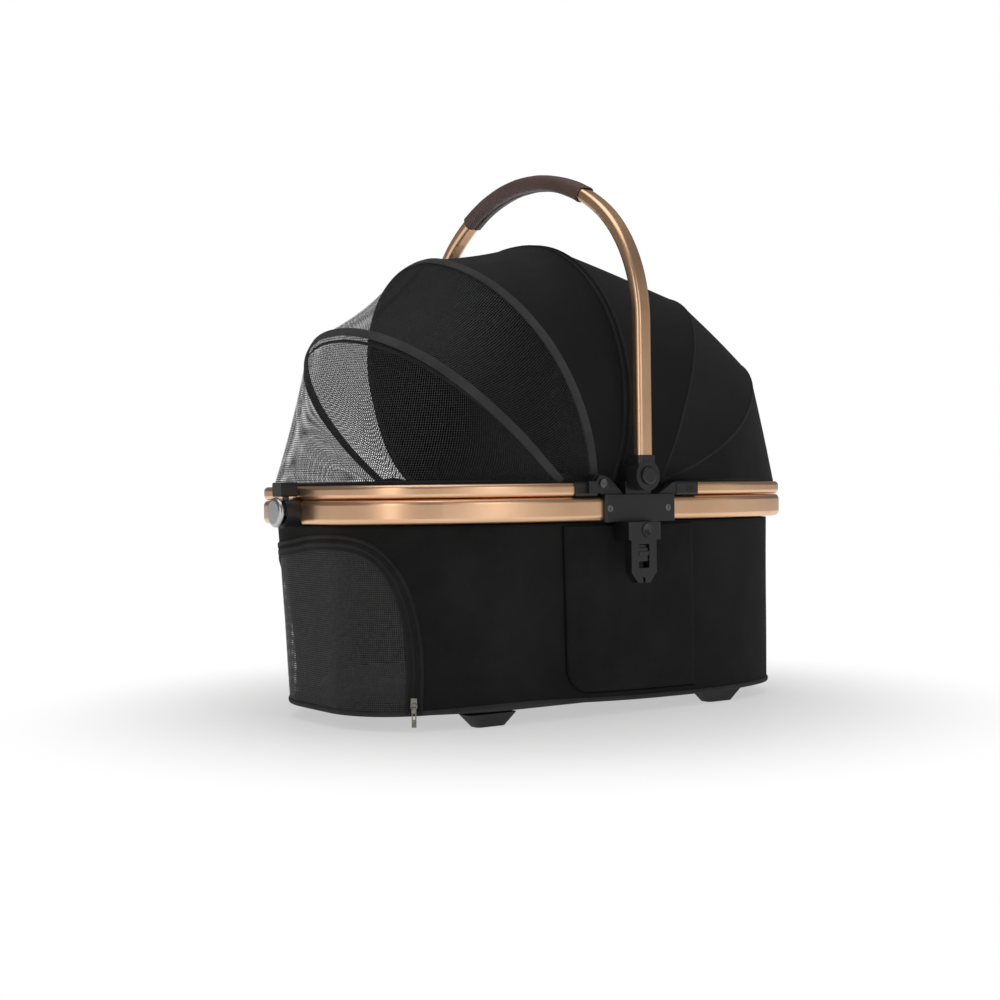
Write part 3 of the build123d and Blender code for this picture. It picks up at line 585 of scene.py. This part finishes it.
def basket_pieces():
    """Cloth wall, the net door and the layered band that joins them."""
    heights = np.linspace(WALL_Z0, WALL_Z1, 64)
    turns = WALL.turns[:-1:3]
    rows, flat = [], []
    for z in heights:
        _, run, _ = WALL.level(z)
        at = np.interp(turns, WALL.turns, run)
        rows.append([WALL.point(a, z, soft_wall(a, z))[0] for a in at])
        flat.append([(a, z) for a in at] + [(run[-1], z)])
    wall = grid("wall_pattern", rows, flat, SUEDE, closed=True)
    points = np.array([pair for row in flat for pair in row[:-1]])
    seam = door_seam()
    cloth = split_mesh(wall, "basket_cloth", signed_distance(points, seam), True)
    inner = shift_line(seam, BAND_W - 1.0 * MM)
    net = split_mesh(wall, "door_net_panel", signed_distance(points, inner), False)
    net.data.materials.clear()
    net.data.materials.append(DOOR_NET)
    bpy.data.objects.remove(wall)
    thicken(cloth, 2.2 * MM)
    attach(cloth, "carrier")
    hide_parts("basket_fabric")
    double_net(net)
    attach(net, "carrier")
    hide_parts("mesh_door")
    band_profile = [(-1.6, -1.0), (-1.2, 0.9), (0.2, 1.9), (1.8, 1.9), (2.9, 0.3), (4.2, 0.5), (7.0, 0.8),
                    (7.6, 1.8), (9.6, 1.9), (10.5, 0.5), (13.4, 0.7), (14.2, 1.7), (16.2, 1.7), (17.2, 0.2),
                    (17.0, -1.2)]
    rows = []
    for across, height in band_profile:
        line, _ = WALL.follow(shift_line(seam, across * MM), height * MM)
        rows.append(line)
    run = lengths(rows[0])
    drop = lengths(np.array(band_profile) * MM)
    band = grid("door_zip_band", rows, [[(a, d) for a in run] for d in drop], ZIP_TAPE)
    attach(band, "carrier")
    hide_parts("door_zip_tape")
    teeth = zip_teeth(shift_line(seam, 5.6 * MM))
    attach(teeth, "carrier")
    return seam


TOOTH_PITCH = 2.4 * MM
TEETH_STOP = 4 * MM        # bare tape at each end of the row


def zip_teeth(path):
    """Row of small moulded teeth along the closed zip."""
    run = lengths(path)
    at = np.arange(TEETH_STOP, run[-1] - TEETH_STOP, TOOTH_PITCH)
    flat = np.stack([np.interp(at, run, path[:, k]) for k in range(2)], axis=1)
    line, normals = WALL.follow(flat, 0.9 * MM)
    tangent = unit(np.gradient(line, axis=0))
    side = np.cross(normals, tangent)
    return bars("door_zip_teeth", line, tangent, side, normals, (1.3 * MM, 2.6 * MM, 0.9 * MM), ZIP_TAPE)


def bars(name, line, tangent, side, normal, size, material):
    """A row of small rounded bars: size is along, across and height."""
    ring = [(-0.5, 0.0), (-0.36, 0.5), (0.36, 0.5), (0.5, 0.0)]
    verts, faces = [], []
    for p, t, s, n in zip(line, tangent, side, normal):
        first = len(verts)
        for end in (-0.5, 0.5):
            verts += [p + t * size[0] * u + s * size[1] * end + n * size[2] * v for u, v in ring]
        k = first
        faces += [(k, k + 1, k + 5, k + 4), (k + 1, k + 2, k + 6, k + 5), (k + 2, k + 3, k + 7, k + 6),
                  (k, k + 3, k + 2, k + 1), (k + 4, k + 5, k + 6, k + 7), (k, k + 4, k + 7, k + 3)]
    loops = [(0.0, 0.0)] * (4 * len(faces))
    return mesh_object(name, verts, faces, loops, material)


def floor_panel():
    """Underside of the basket: one oval of cloth, slightly crowned."""
    outline, _, _ = WALL.level(WALL_Z0)
    outline = outline[:-1:6]
    middle = outline.mean(axis=0)
    rows, flat = [], []
    for share in np.linspace(1, 0.02, 24):
        line = middle + (outline - middle) * share
        lift = 0.4 * MM + 1.2 * MM * (1 - share**2)
        rows.append([(x, y, WALL_Z0 + lift + BASE_RISE * np.exp(-(((x - MID_X - RISE_X) / RISE_W) ** 2)))
                     for x, y in line])
        flat.append([(x, y) for x, y in line] + [tuple(line[0])])
    panel = thicken(grid("basket_floor", rows, flat, SUEDE, closed=True), 2 * MM, 1.0)
    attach(panel, "carrier")


def base_piping():
    """Folded grey tape along the bottom edge."""
    path = [(a, WALL_Z0) for a in np.linspace(WALL.level(WALL_Z0)[1][0], WALL.level(WALL_Z0)[1][-1], 361)]
    line, normals = WALL.follow(path[:-1], 0.5 * MM)
    line[:, 2] += 2.6 * MM
    section = round_section(5.4 * MM, 2.6 * MM)
    edge = ribbon("base_piping_tape", line, normals, section, PIPING, closed=True)
    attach(edge, "carrier")
    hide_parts("base_piping")


POCKET_X = (-73 * MM, 108 * MM)
POCKET_Z = 25.0 * MM
POCKET_R = 30 * MM


def pocket(side):
    """Panel laid over the middle of a long side; its front lower corner is rounded. A near-black strip along
    its edge is painted shade for the groove there.
    """
    name = "left" if side > 0 else "right"
    top = high(f"side_pocket_{name}", 2) - 1 * MM
    first = WALL.along(POCKET_X[0], 0.1)
    last = WALL.along(POCKET_X[1], 0.1)
    rows, flat = [], []
    for share in np.linspace(0, 1, 60):
        z = POCKET_Z + (top - POCKET_Z) * share
        below = max(POCKET_R - (z - POCKET_Z), 0.0)
        start = first + POCKET_R - (POCKET_R**2 - below**2) ** 0.5
        rim = min((z - POCKET_Z) / (2.5 * MM), 1.0)
        row, marks = [], []
        for step in np.linspace(0, 1, 70):
            a = start + (last - start) * (step**1.25)
            edge = min((a - start) / (3.0 * MM), (last - a) / (3.0 * MM), 1.0)
            puff = 0.5 * MM * noise.noise(Vector((a * 22, z * 16, 5.0)))
            out = 0.3 * MM + (1.7 * MM + puff) * max(min(edge, rim), 0.0) ** 0.6 + soft_wall(side * a, z)
            row.append(WALL.point(side * a, z, out)[0])
            marks.append((a, z))
        rows.append(row)
        flat.append(marks)
    panel = grid(f"side_pocket_panel_{name}", rows, flat, SUEDE)
    if side > 0:
        panel.data.flip_normals()
    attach(panel, "carrier")
    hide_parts(f"side_pocket_{name}")
    # painted shade: a near-black strip along the panel's edge stands for the shadow in the groove
    edge = [(side * first, z) for z in np.linspace(top, POCKET_Z + POCKET_R, 40)]
    for angle in np.linspace(0, pi / 2, 16)[1:]:
        edge.append((side * (first + POCKET_R * (1 - cos(angle))), POCKET_Z + POCKET_R * (1 - sin(angle))))
    edge += [(side * a, POCKET_Z) for a in np.linspace(first + POCKET_R, last, 40)[1:]]
    line, normals = WALL.follow(edge, 1.0 * MM)
    section = round_section(1.8 * MM, 2.2 * MM, 10)
    groove_shade_strip = ribbon(f"side_pocket_groove_shade_{name}", line, normals, section, SEAM_SHADE)
    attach(groove_shade_strip, "carrier")


# ---------------------------------------------------------------- canopy
CANOPY_Z = RIM_Z + 1.2 * MM
FOOT_HALF_WIDTH = high("canopy_rear", 1)
# name: foot along X, reach, lean in degrees, half width, then for the near and the far half:
# squareness up, squareness across, bend and shift along X. These values came from a least-squares
# program run on points picked off the photo, so they are not worked out from the frame.
BOWS = {
    "front": (-89.9 * MM, 238.3 * MM, 44.3, 190 * MM,
              (0.67, 1.0, 3.0 * MM, 0.0), (0.78, 1.0, 3.0 * MM, 0.0)),
    "edge": (-45.7 * MM, 273 * MM, 66.7, 187 * MM,
             (0.96, 0.89, -23 * MM, 0.0), (1.10, 0.70, 31 * MM, 14 * MM)),
    "top": (-16 * MM, 277 * MM, 90.2, 189 * MM,
            (0.83, 0.83, -21 * MM, 0.0), (0.83, 0.83, -21 * MM, 0.0)),
    "shoulder": (47 * MM, 261 * MM, 120.0, 189 * MM,
                 (0.866, 0.866, 8 * MM, 0.0), (0.866, 0.866, 8 * MM, 0.0)),
    "rear": (45 * MM, 288 * MM, 147.4, 189 * MM,
             (0.93, 0.93, -22 * MM, 0.0), (0.93, 0.93, -22 * MM, 0.0)),
}
ACROSS = 181


def smooth(share):
    share = min(max(share, 0.0), 1.0)
    return share * share * (3 - 2 * share)


def bow_line(name):
    """Points of a bow from its near foot over the top to its far foot."""
    foot, reach, lean, width, near, far = BOWS[name]
    lean = radians(lean)
    points = []
    for t in np.linspace(0, pi, 721):
        c, s = cos(t), max(sin(t), 0.0)
        share = smooth((t / pi - 0.42) / 0.2)
        up, across, bend, shift = (n * (1 - share) + f * share for n, f in zip(near, far))
        r = reach * s**up
        curve = bend * 4 * (r / reach) * (1 - r / reach)
        height = r * sin(lean) - curve * cos(lean)
        flare = min(max(height / (45 * MM), 0.0), 1.0)
        half = FOOT_HALF_WIDTH + (width - FOOT_HALF_WIDTH) * flare
        y = -half * (1 if c > 0 else -1) * abs(c) ** across
        x = foot + shift * smooth(height / (110 * MM)) - r * cos(lean) - curve * sin(lean)
        points.append((MID_X + x, y, CANOPY_Z + height))
    return even(points, ACROSS)


FRONT_RIM, REAR_RIM = Oval(12.5 * MM), Oval(7.5 * MM)


def rim_line(front):
    """Hem on the frame from one bow's near foot round the end to its far foot."""
    foot = BOWS["front"][0] if front else BOWS["rear"][0]
    turns = np.linspace(-0.5, 0.5, 2001) if front else np.linspace(0, 1, 2001)
    rim = FRONT_RIM if front else REAR_RIM
    line = np.array([rim.at(t if t <= 0.5 else t - 1) for t in turns])
    ahead = line[:, 0] <= MID_X + foot if front else line[:, 0] >= MID_X + foot
    line = line[ahead]
    line[:, 1] = np.clip(line[:, 1], -FOOT_HALF_WIDTH, FOOT_HALF_WIDTH)
    if line[0][1] > line[-1][1]:
        line = line[::-1]
    return even(np.column_stack([line, np.full(len(line), CANOPY_Z)]), ACROSS)


def inward(points, hub):
    """Unit directions from the canopy towards the lengthwise line through hub."""
    target = np.array(points)
    target[:, 0] = hub[0]
    target[:, 1] *= 0.55
    target[:, 2] = hub[2]
    return unit(target - points)


def patch(first, second, steps, sag, top_share=0.5):
    """Rows of cloth stretched between two lines, sagging towards the inside between them."""
    hub = (MID_X, 0, CANOPY_Z)
    reach = np.sin(np.linspace(0, pi, ACROSS))
    weight = reach**0.8 * (1 - (1 - top_share) * reach**6)
    rows = []
    for share in np.linspace(0, 1, steps):
        line = first * (1 - share) + second * share
        dip = sag * sin(pi * share) ** 0.9
        rows.append(line + inward(line, hub) * (dip * weight)[:, None])
    return rows


def cloth_marks(rows):
    """Flat pattern of a sheet given by rows: along the rows, and down across them, in metres."""
    rows = np.asarray(rows)
    down = np.concatenate([np.zeros((1, rows.shape[1])),
                           np.cumsum(np.linalg.norm(np.diff(rows, axis=0), axis=2), axis=0)])
    marks = []
    for row, depth in zip(rows, down):
        run = lengths(row)
        marks.append(np.column_stack([run - run[-1] / 2, depth]))
    return marks


def outward_normals(line):
    hub = np.array((MID_X, 0, CANOPY_Z))
    away = np.array(line) - hub
    away[:, 1] *= 1.25
    return unit(away)


def declare_sheet(rows):
    rows = np.asarray(rows)


def flat_tape(width, thick):
    """Section of a woven tape folded over an edge."""
    w, h = width / 2, thick
    return [(-w, -0.4 * h), (-w, 0.5 * h), (-0.86 * w, h), (-0.3 * w, 1.12 * h), (0.3 * w, 1.12 * h),
            (0.86 * w, h), (w, 0.5 * h), (w, -0.4 * h), (-w, -0.4 * h)]


def canopy_pieces():
    front, edge = bow_line("front"), bow_line("edge")
    top, shoulder, rear = bow_line("top"), bow_line("shoulder"), bow_line("rear")
    front_rim, rear_rim = rim_line(True), rim_line(False)
    lower_rows = patch(front_rim, front, 34, 3 * MM, 0.6)
    lower = grid("front_net_lower", lower_rows, cloth_marks(lower_rows), CANOPY_NET)
    upper_rows = patch(front, edge, 26, 7 * MM, 1.0)
    upper = grid("front_net_upper", upper_rows, cloth_marks(upper_rows), CANOPY_NET)
    main_rows = patch(edge, top, 30, 5 * MM, 0.6)
    top_row = len(main_rows) - 1
    main_rows += patch(top, shoulder, 36, 17 * MM, -0.3)[1:]
    shoulder_row = len(main_rows) - 1
    main_rows += patch(shoulder, rear, 34, 6 * MM, -0.9)[1:]
    rear_row = len(main_rows) - 1
    main_rows += patch(rear, rear_rim, 26, -1 * MM, 1.0)[1:]
    main = grid("canopy_shell", main_rows, cloth_marks(main_rows), CANOPY)
    relax(main, 1)
    double_net(lower)
    double_net(upper)
    declare_sheet(lower_rows)
    declare_sheet(upper_rows)
    declare_sheet(main_rows)
    thicken(main, 1.0 * MM, -1.0)
    middle = radians(BOWS["front"][2] / 2)
    across = Vector((-sin(middle), 0, -cos(middle)))
    hub = Vector((EAR.x, 0, EAR.z)) + Vector((-cos(middle), 0, sin(middle))) * 0.1
    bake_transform(lower, "front_bow", "lid", start=hub - across * 0.1, end=hub + across * 0.1)
    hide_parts("mesh_lower")
    lean = radians((BOWS["front"][2] + BOWS["edge"][2]) / 2)
    across = Vector((-sin(lean), 0, -cos(lean)))
    hub = Vector((EAR.x, 0, EAR.z)) + Vector((-cos(lean), 0, sin(lean))) * 0.1
    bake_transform(upper, "carrier", "front_bow", start=hub - across * 0.045, end=hub + across * 0.045)
    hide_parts("mesh_upper")
    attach(main, "carrier")
    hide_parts("canopy_rear")
    tape(front, "front_bow_tape", 9.5 * MM, 1.3 * MM, BINDING, "front_bow", "canopy_front_bow")
    inner_tape(lower_rows)
    tape(edge, "canopy_edge_tape", 10.0 * MM, 1.3 * MM, BINDING, "carrier", "canopy_edge_bow")
    tape(front_rim, "front_hem", 4.5 * MM, 0.9 * MM, ZIP_TAPE, "lid", None)
    tape(rear_rim, "rear_hem", 4.5 * MM, 0.9 * MM, ZIP_TAPE, "carrier", None)
    seam(main_rows[top_row], "top_bow_seam_front", -4.0 * MM, "canopy_top_bow")
    seam(main_rows[top_row], "top_bow_seam_rear", 4.0 * MM, None)
    seam(main_rows[shoulder_row], "shoulder_bow_seam", 0.0, "canopy_shoulder_bow")
    seam(main_rows[rear_row], "rear_bow_seam", 0.0, "canopy_rear_bow")
    side_hems()


def relax(obj, rounds):
    """Rounds a sheet's creases a little, leaving its first and last rows in place."""
    coords = np.array([v.co for v in obj.data.vertices]).reshape(-1, ACROSS, 3)
    for _ in range(rounds):
        coords[1:-1] = (coords[:-2] + 2 * coords[1:-1] + coords[2:]) / 4
    for vert, place in zip(obj.data.vertices, coords.reshape(-1, 3)):
        vert.co = place
    obj.data.update()


def tape(line, name, width, thick, material, body, node):
    """Woven tape over a line of the canopy."""
    band = ribbon(name, line, outward_normals(line), flat_tape(width, thick), material)
    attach(band, body)
    if node:
        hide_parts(node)


def inner_tape(rows):
    """Narrow second tape on the lower net, a little in front of the front bow."""
    line = np.asarray(rows)[-3]
    section = flat_tape(3.6 * MM, 0.9 * MM)
    band = ribbon("front_bow_inner_tape", line, outward_normals(line), section, ZIP_TAPE)
    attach(band, "front_bow")


def seam(line, name, offset, node):
    """Raised felled seam beside a bow."""
    centre = np.array(line)
    normals = outward_normals(centre)
    tangent = unit(np.gradient(centre, axis=0))
    centre = centre + np.cross(normals, tangent) * offset
    band = ribbon(name, centre, normals, flat_tape(3.4 * MM, 1.2 * MM), ZIP_TAPE)
    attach(band, "carrier")
    if node:
        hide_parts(node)


def side_hems():
    """Cloth between the feet of the front and rear bows, tucked down inside the frame, one each side."""
    start, end = MID_X + BOWS["front"][0], MID_X + BOWS["rear"][0] + 12 * MM
    bottom = high("frame_rear_tube", 2) - 12 * MM
    for side, name in ((-1, "left"), (1, "right")):
        rows, flat = [], []
        for z in np.linspace(CANOPY_Z + 1 * MM, bottom, 8):
            rows.append([(x, side * (FOOT_HALF_WIDTH - 0.8 * MM), z) for x in np.linspace(start, end, 40)])
            flat.append([(x, z) for x in np.linspace(start, end, 40)])
        skirt = thicken(grid(f"side_skirt_{name}", rows, flat, CANOPY), 0.8 * MM, 0.0)
        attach(skirt, "carrier")


# ---------------------------------------------------------------- handle grip
GRIP_ANGLE = radians(28)
LEG_Y, SHOULDER_R = 212 * MM, 165 * MM
ARCH_RISE = 180 * MM
CROWN_R = (LEG_Y**2 + ARCH_RISE**2 - 2 * LEG_Y * SHOULDER_R) / (2 * (ARCH_RISE - SHOULDER_R))


def grip_edge(turn, half_w, half_t):
    """Offset of a rounded oblong's edge in a direction."""
    c, s = cos(turn), sin(turn)
    power = 3.2
    reach = (abs(c / half_w) ** power + abs(s / half_t) ** power) ** (-1 / power)
    return reach * c, reach * s


def grip():
    """Leather sleeve wrapped round the top of the arch and sewn along its underside."""
    along, around = 150, 60
    half_w = (high("handle_grip", 0) - low("handle_grip", 0)) / 2 - 0.2 * MM
    half_t = 9.3 * MM
    crown_z = high("handle_grip", 2) - half_t - CROWN_R
    rows, flat = [], []
    for i in range(along + 1):
        share = i / along
        angle = pi / 2 + GRIP_ANGLE * (1 - 2 * share)
        away = min(share, 1 - share) * along
        rolled = 0.4 * MM * (1 - min(away / 3, 1)) ** 2
        closing = 1.0 if away > 0 else 0.86
        centre = Vector((MID_X, -CROWN_R * cos(angle), crown_z + CROWN_R * sin(angle)))
        radial = Vector((0, -cos(angle), sin(angle)))
        row, marks = [], []
        for j in range(around):
            turn = 2 * pi * j / around
            dent = 0.8 * MM * max(0.0, 1 - abs((turn - 1.5 * pi)) / 0.14)
            bulge = 0.25 * MM * noise.noise(Vector((share * 14, cos(turn), sin(turn))))
            grow = rolled + bulge - dent
            across, up = grip_edge(turn, half_w + grow, half_t + grow)
            row.append(centre + Vector((across * closing, 0, 0)) + radial * up * closing)
            marks.append((share * 2 * GRIP_ANGLE * CROWN_R, j / around * 72 * MM))
        rows.append(row)
        flat.append(marks + [(marks[0][0], 72 * MM)])
    sleeve = grid("leather_grip", rows, flat, LEATHER, closed=True)
    sleeve.data.flip_normals()
    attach(sleeve, "handle")
    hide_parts("handle_grip")
    angles = np.linspace(pi / 2 + GRIP_ANGLE * 0.97, pi / 2 - GRIP_ANGLE * 0.97, 60)
    inner = CROWN_R - half_t + 0.2 * MM
    line = np.array([(MID_X, -inner * cos(a), crown_z + inner * sin(a)) for a in angles])
    normals = np.array([(0, cos(a), -sin(a)) for a in angles])
    tangent = unit(np.gradient(line, axis=0))
    slanted = unit(np.cross(normals, tangent) + tangent * 0.5)
    sewn = bars("grip_stitches", line, unit(np.cross(normals, slanted)), slanted, normals,
                (0.7 * MM, 4.2 * MM, 0.5 * MM), BINDING)
    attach(sewn, "handle")


# ---------------------------------------------------------------- cushion
CUSHION_GAP = 9 * MM
SWELL_CAP = 9 * MM


def cushion_form():
    """Slab with rounded sides, a little smaller than the space it may fill."""
    low_z, high_z = low("cushion", 2), high("cushion", 2)
    base = Oval(CUSHION_GAP, BASE_HALF_LENGTH - 11 * MM, BASE_HALF_WIDTH - 11 * MM, BASE_CORNER, BASE_X)
    outline = np.array([base.at(t) for t in np.linspace(-0.5, 0.5, 181)[:-1]])
    middle = outline.mean(axis=0)
    thick = (high_z - low_z) * 0.62
    section = [(0.0, 0.0), (0.5, 0.0), (0.94, 0.0), (1.0, 0.28),
               (1.0, 0.72), (0.94, 1.0), (0.5, 1.0), (0.0, 1.0)]
    rows = []
    for share, level in section[1:-1]:
        line = middle + (outline - middle) * share
        rows.append([(x, y, low_z + 3 * MM + thick * level) for x, y in line])
    points = np.array(rows)
    count = points.shape[1]
    verts = list(points.reshape(-1, 3)) + [(*middle, low_z + 3 * MM), (*middle, low_z + 3 * MM + thick)]
    faces = []
    for i in range(len(rows) - 1):
        for j in range(count):
            k = (j + 1) % count
            faces.append((i * count + j, i * count + k, (i + 1) * count + k, (i + 1) * count + j))
    last = (len(rows) - 1) * count
    for j in range(count):
        k = (j + 1) % count
        faces.append((k, j, len(verts) - 2))
        faces.append((last + j, last + k, len(verts) - 1))
    return mesh_object("cushion_pad", verts, faces, None, SUEDE)


def inflate(obj, voxel, pressure, frames, cap):
    """Swells a closed form with the cloth solver, then limits how far each point went."""
    remesh = obj.modifiers.new("even", "REMESH")
    remesh.mode = "VOXEL"
    remesh.voxel_size = voxel
    apply_modifiers(obj)
    start = np.array([v.co for v in obj.data.vertices])
    cloth = obj.modifiers.new("cloth", "CLOTH")
    cloth.settings.use_pressure = True
    cloth.settings.uniform_pressure_force = pressure
    cloth.settings.effector_weights.gravity = 0
    scene = bpy.context.scene
    for number in range(1, frames + 1):
        scene.frame_set(number)
    apply_modifiers(obj)
    scene.frame_set(1)
    moved = np.array([v.co for v in obj.data.vertices]) - start
    far = np.linalg.norm(moved, axis=1, keepdims=True)
    capped = start + moved * np.minimum(1.0, cap / np.maximum(far, 1e-9))
    for vert, place in zip(obj.data.vertices, capped):
        vert.co = place


def cushion():
    """Quilted pad on the basket's floor, with sewn channels and rounded sides."""
    pad = cushion_form()
    inflate(pad, 6 * MM, 4.0, 20, SWELL_CAP)
    low_z, high_z = low("cushion", 2) + 0.6 * MM, high("cushion", 2) - 0.3 * MM
    middle_x = MID_X + BASE_X
    for vert in pad.data.vertices:
        x, y, z = vert.co
        for channel in (-0.14, -0.047, 0.047, 0.14):
            gap = abs(x - middle_x - channel) / (9 * MM)
            if z > (low_z + high_z) / 2:
                z -= 5.5 * MM * max(0.0, 1 - gap) ** 2
        vert.co = (x, y, min(max(z, low_z), high_z))
    pad.data.materials.clear()
    pad.data.materials.append(quilt_material())
    pad.data.polygons.foreach_set("use_smooth", [True] * len(pad.data.polygons))
    finer = pad.modifiers.new("finer", "SUBSURF")
    finer.levels = finer.render_levels = 1
    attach(pad, "carrier")
    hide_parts("cushion")


def quilt_material():
    """Cushion cloth: weave from object space, because the pad has no flat pattern."""
    s = Shader("quilted_cushion", 0.88)
    s.bsdf.inputs["Sheen Weight"].default_value = 0.4
    weave = s.node("ShaderNodeTexWave", Scale=420.0, Distortion=0.6)
    s.wire(s.place(), weave.inputs["Vector"])
    colour = s.blend_colours(s.noise(30, 5), (0.05, 0.05, 0.055), (0.10, 0.10, 0.108))
    height = s.math("ADD", weave.outputs["Fac"], s.noise(700, 3))
    return s.finish(colour, s.spread(s.noise(60, 3), 0.8, 0.95), s.bump(height, 0.6, 0.0005))


# ---------------------------------------------------------------- stage, light and camera
def studio_floor():
    """Pale floor that fades into the backdrop's white away from the object."""
    s = Shader("studio_floor", 0.35)
    s.bsdf.inputs["Base Color"].default_value = (0.94, 0.94, 0.94, 1)
    s.bsdf.inputs["Specular IOR Level"].default_value = 0.25
    away = s.node("ShaderNodeVectorMath", operation="LENGTH")
    s.wire(s.place(), away.inputs[0])
    fade = s.node("ShaderNodeMapRange", interpolation_type="SMOOTHSTEP")
    fade.inputs["From Min"].default_value = 0.25
    fade.inputs["From Max"].default_value = 0.62
    fade.inputs["To Min"].default_value = 0.5
    s.wire(away.outputs["Value"], fade.inputs["Value"])
    glow = s.node("ShaderNodeEmission", Strength=1.0)
    glow.inputs["Color"].default_value = (1, 1, 1, 1)
    mixed = s.node("ShaderNodeMixShader")
    s.wire(fade.outputs["Result"], mixed.inputs["Fac"])
    s.wire(s.bsdf.outputs[0], mixed.inputs[1])
    s.wire(glow.outputs[0], mixed.inputs[2])
    s.wire(mixed.outputs[0], s.nodes["Material Output"].inputs["Surface"])
    size = 14.0
    verts = [(-size, -size, 0), (size, -size, 0), (size, size, 0), (-size, size, 0)]
    floor = mesh_object("floor", verts, [(0, 1, 2, 3)], None, s.material)


def backdrop():
    """White all round for the eye, softer and graded for the light it gives."""
    world = bpy.data.worlds.new("studio")
    bpy.context.scene.world = world
    world.use_nodes = True
    nodes, links = world.node_tree.nodes, world.node_tree.links
    seen, lit = nodes["Background"], nodes.new("ShaderNodeBackground")
    seen.inputs["Color"].default_value = (1, 1, 1, 1)
    seen.inputs["Strength"].default_value = 1.0
    lit.inputs["Color"].default_value = (1, 1, 1, 1)
    lit.inputs["Strength"].default_value = 0.17
    path, mix = nodes.new("ShaderNodeLightPath"), nodes.new("ShaderNodeMixShader")
    links.new(path.outputs["Is Camera Ray"], mix.inputs["Fac"])
    links.new(lit.outputs[0], mix.inputs[1])
    links.new(seen.outputs[0], mix.inputs[2])
    links.new(mix.outputs[0], nodes["World Output"].inputs["Surface"])


def softbox(name, place, target, size, power):
    light = bpy.data.lights.new(name, "AREA")
    light.shape = "RECTANGLE"
    light.size, light.size_y = size
    light.energy = power
    obj = link(bpy.data.objects.new(name, light))
    obj.location = place
    obj.rotation_euler = (Vector(target) - Vector(place)).to_track_quat("-Z", "Y").to_euler()


# The camera's place, turn, lens and shift came from the same kind of fit to the photo.
LOOK = Vector((0.5639, 0.8258, 0.0))          # where the camera looks, level
EYE = Vector((MID_X - 1105.8 * MM, -1557.9 * MM, 248.7 * MM))
LENS = 58.03
ROLL = 0.013
HORIZON_SHIFT = -0.0084


def camera_and_lights():
    data = bpy.data.cameras.new("view")
    data.lens, data.sensor_width = LENS, 36.0
    data.shift_y = HORIZON_SHIFT
    data.clip_start, data.clip_end = 0.05, 60.0
    obj = link(bpy.data.objects.new("view", data))
    right = Vector((LOOK.y, -LOOK.x, 0))
    turn = Matrix((right, Vector((0, 0, 1)), -LOOK)).transposed().to_4x4()
    obj.matrix_world = Matrix.Translation(EYE) @ turn @ Matrix.Rotation(-ROLL, 4, "Z")
    bpy.context.scene.camera = obj
    bpy.context.scene.view_settings.view_transform = "Standard"
    aim = (0, 0, 0.3)
    softbox("front", (0.05, -2.5, 0.95), aim, (0.55, 1.4), 6.5)
    softbox("left", (-2.2, -1.15, 0.95), aim, (0.6, 1.5), 8)
    softbox("right", (2.1, -1.5, 1.1), aim, (0.4, 1.2), 1.2)
    softbox("top", (-0.2, -0.1, 2.6), (0, 0, 0), (2.2, 2.2), 26)


# ---------------------------------------------------------------- everything
paint_cad_nodes()
basket_pieces()
floor_panel()
base_piping()
for side in (1, -1):
    pocket(side)
canopy_pieces()
grip()
cushion()
studio_floor()
backdrop()
camera_and_lights()
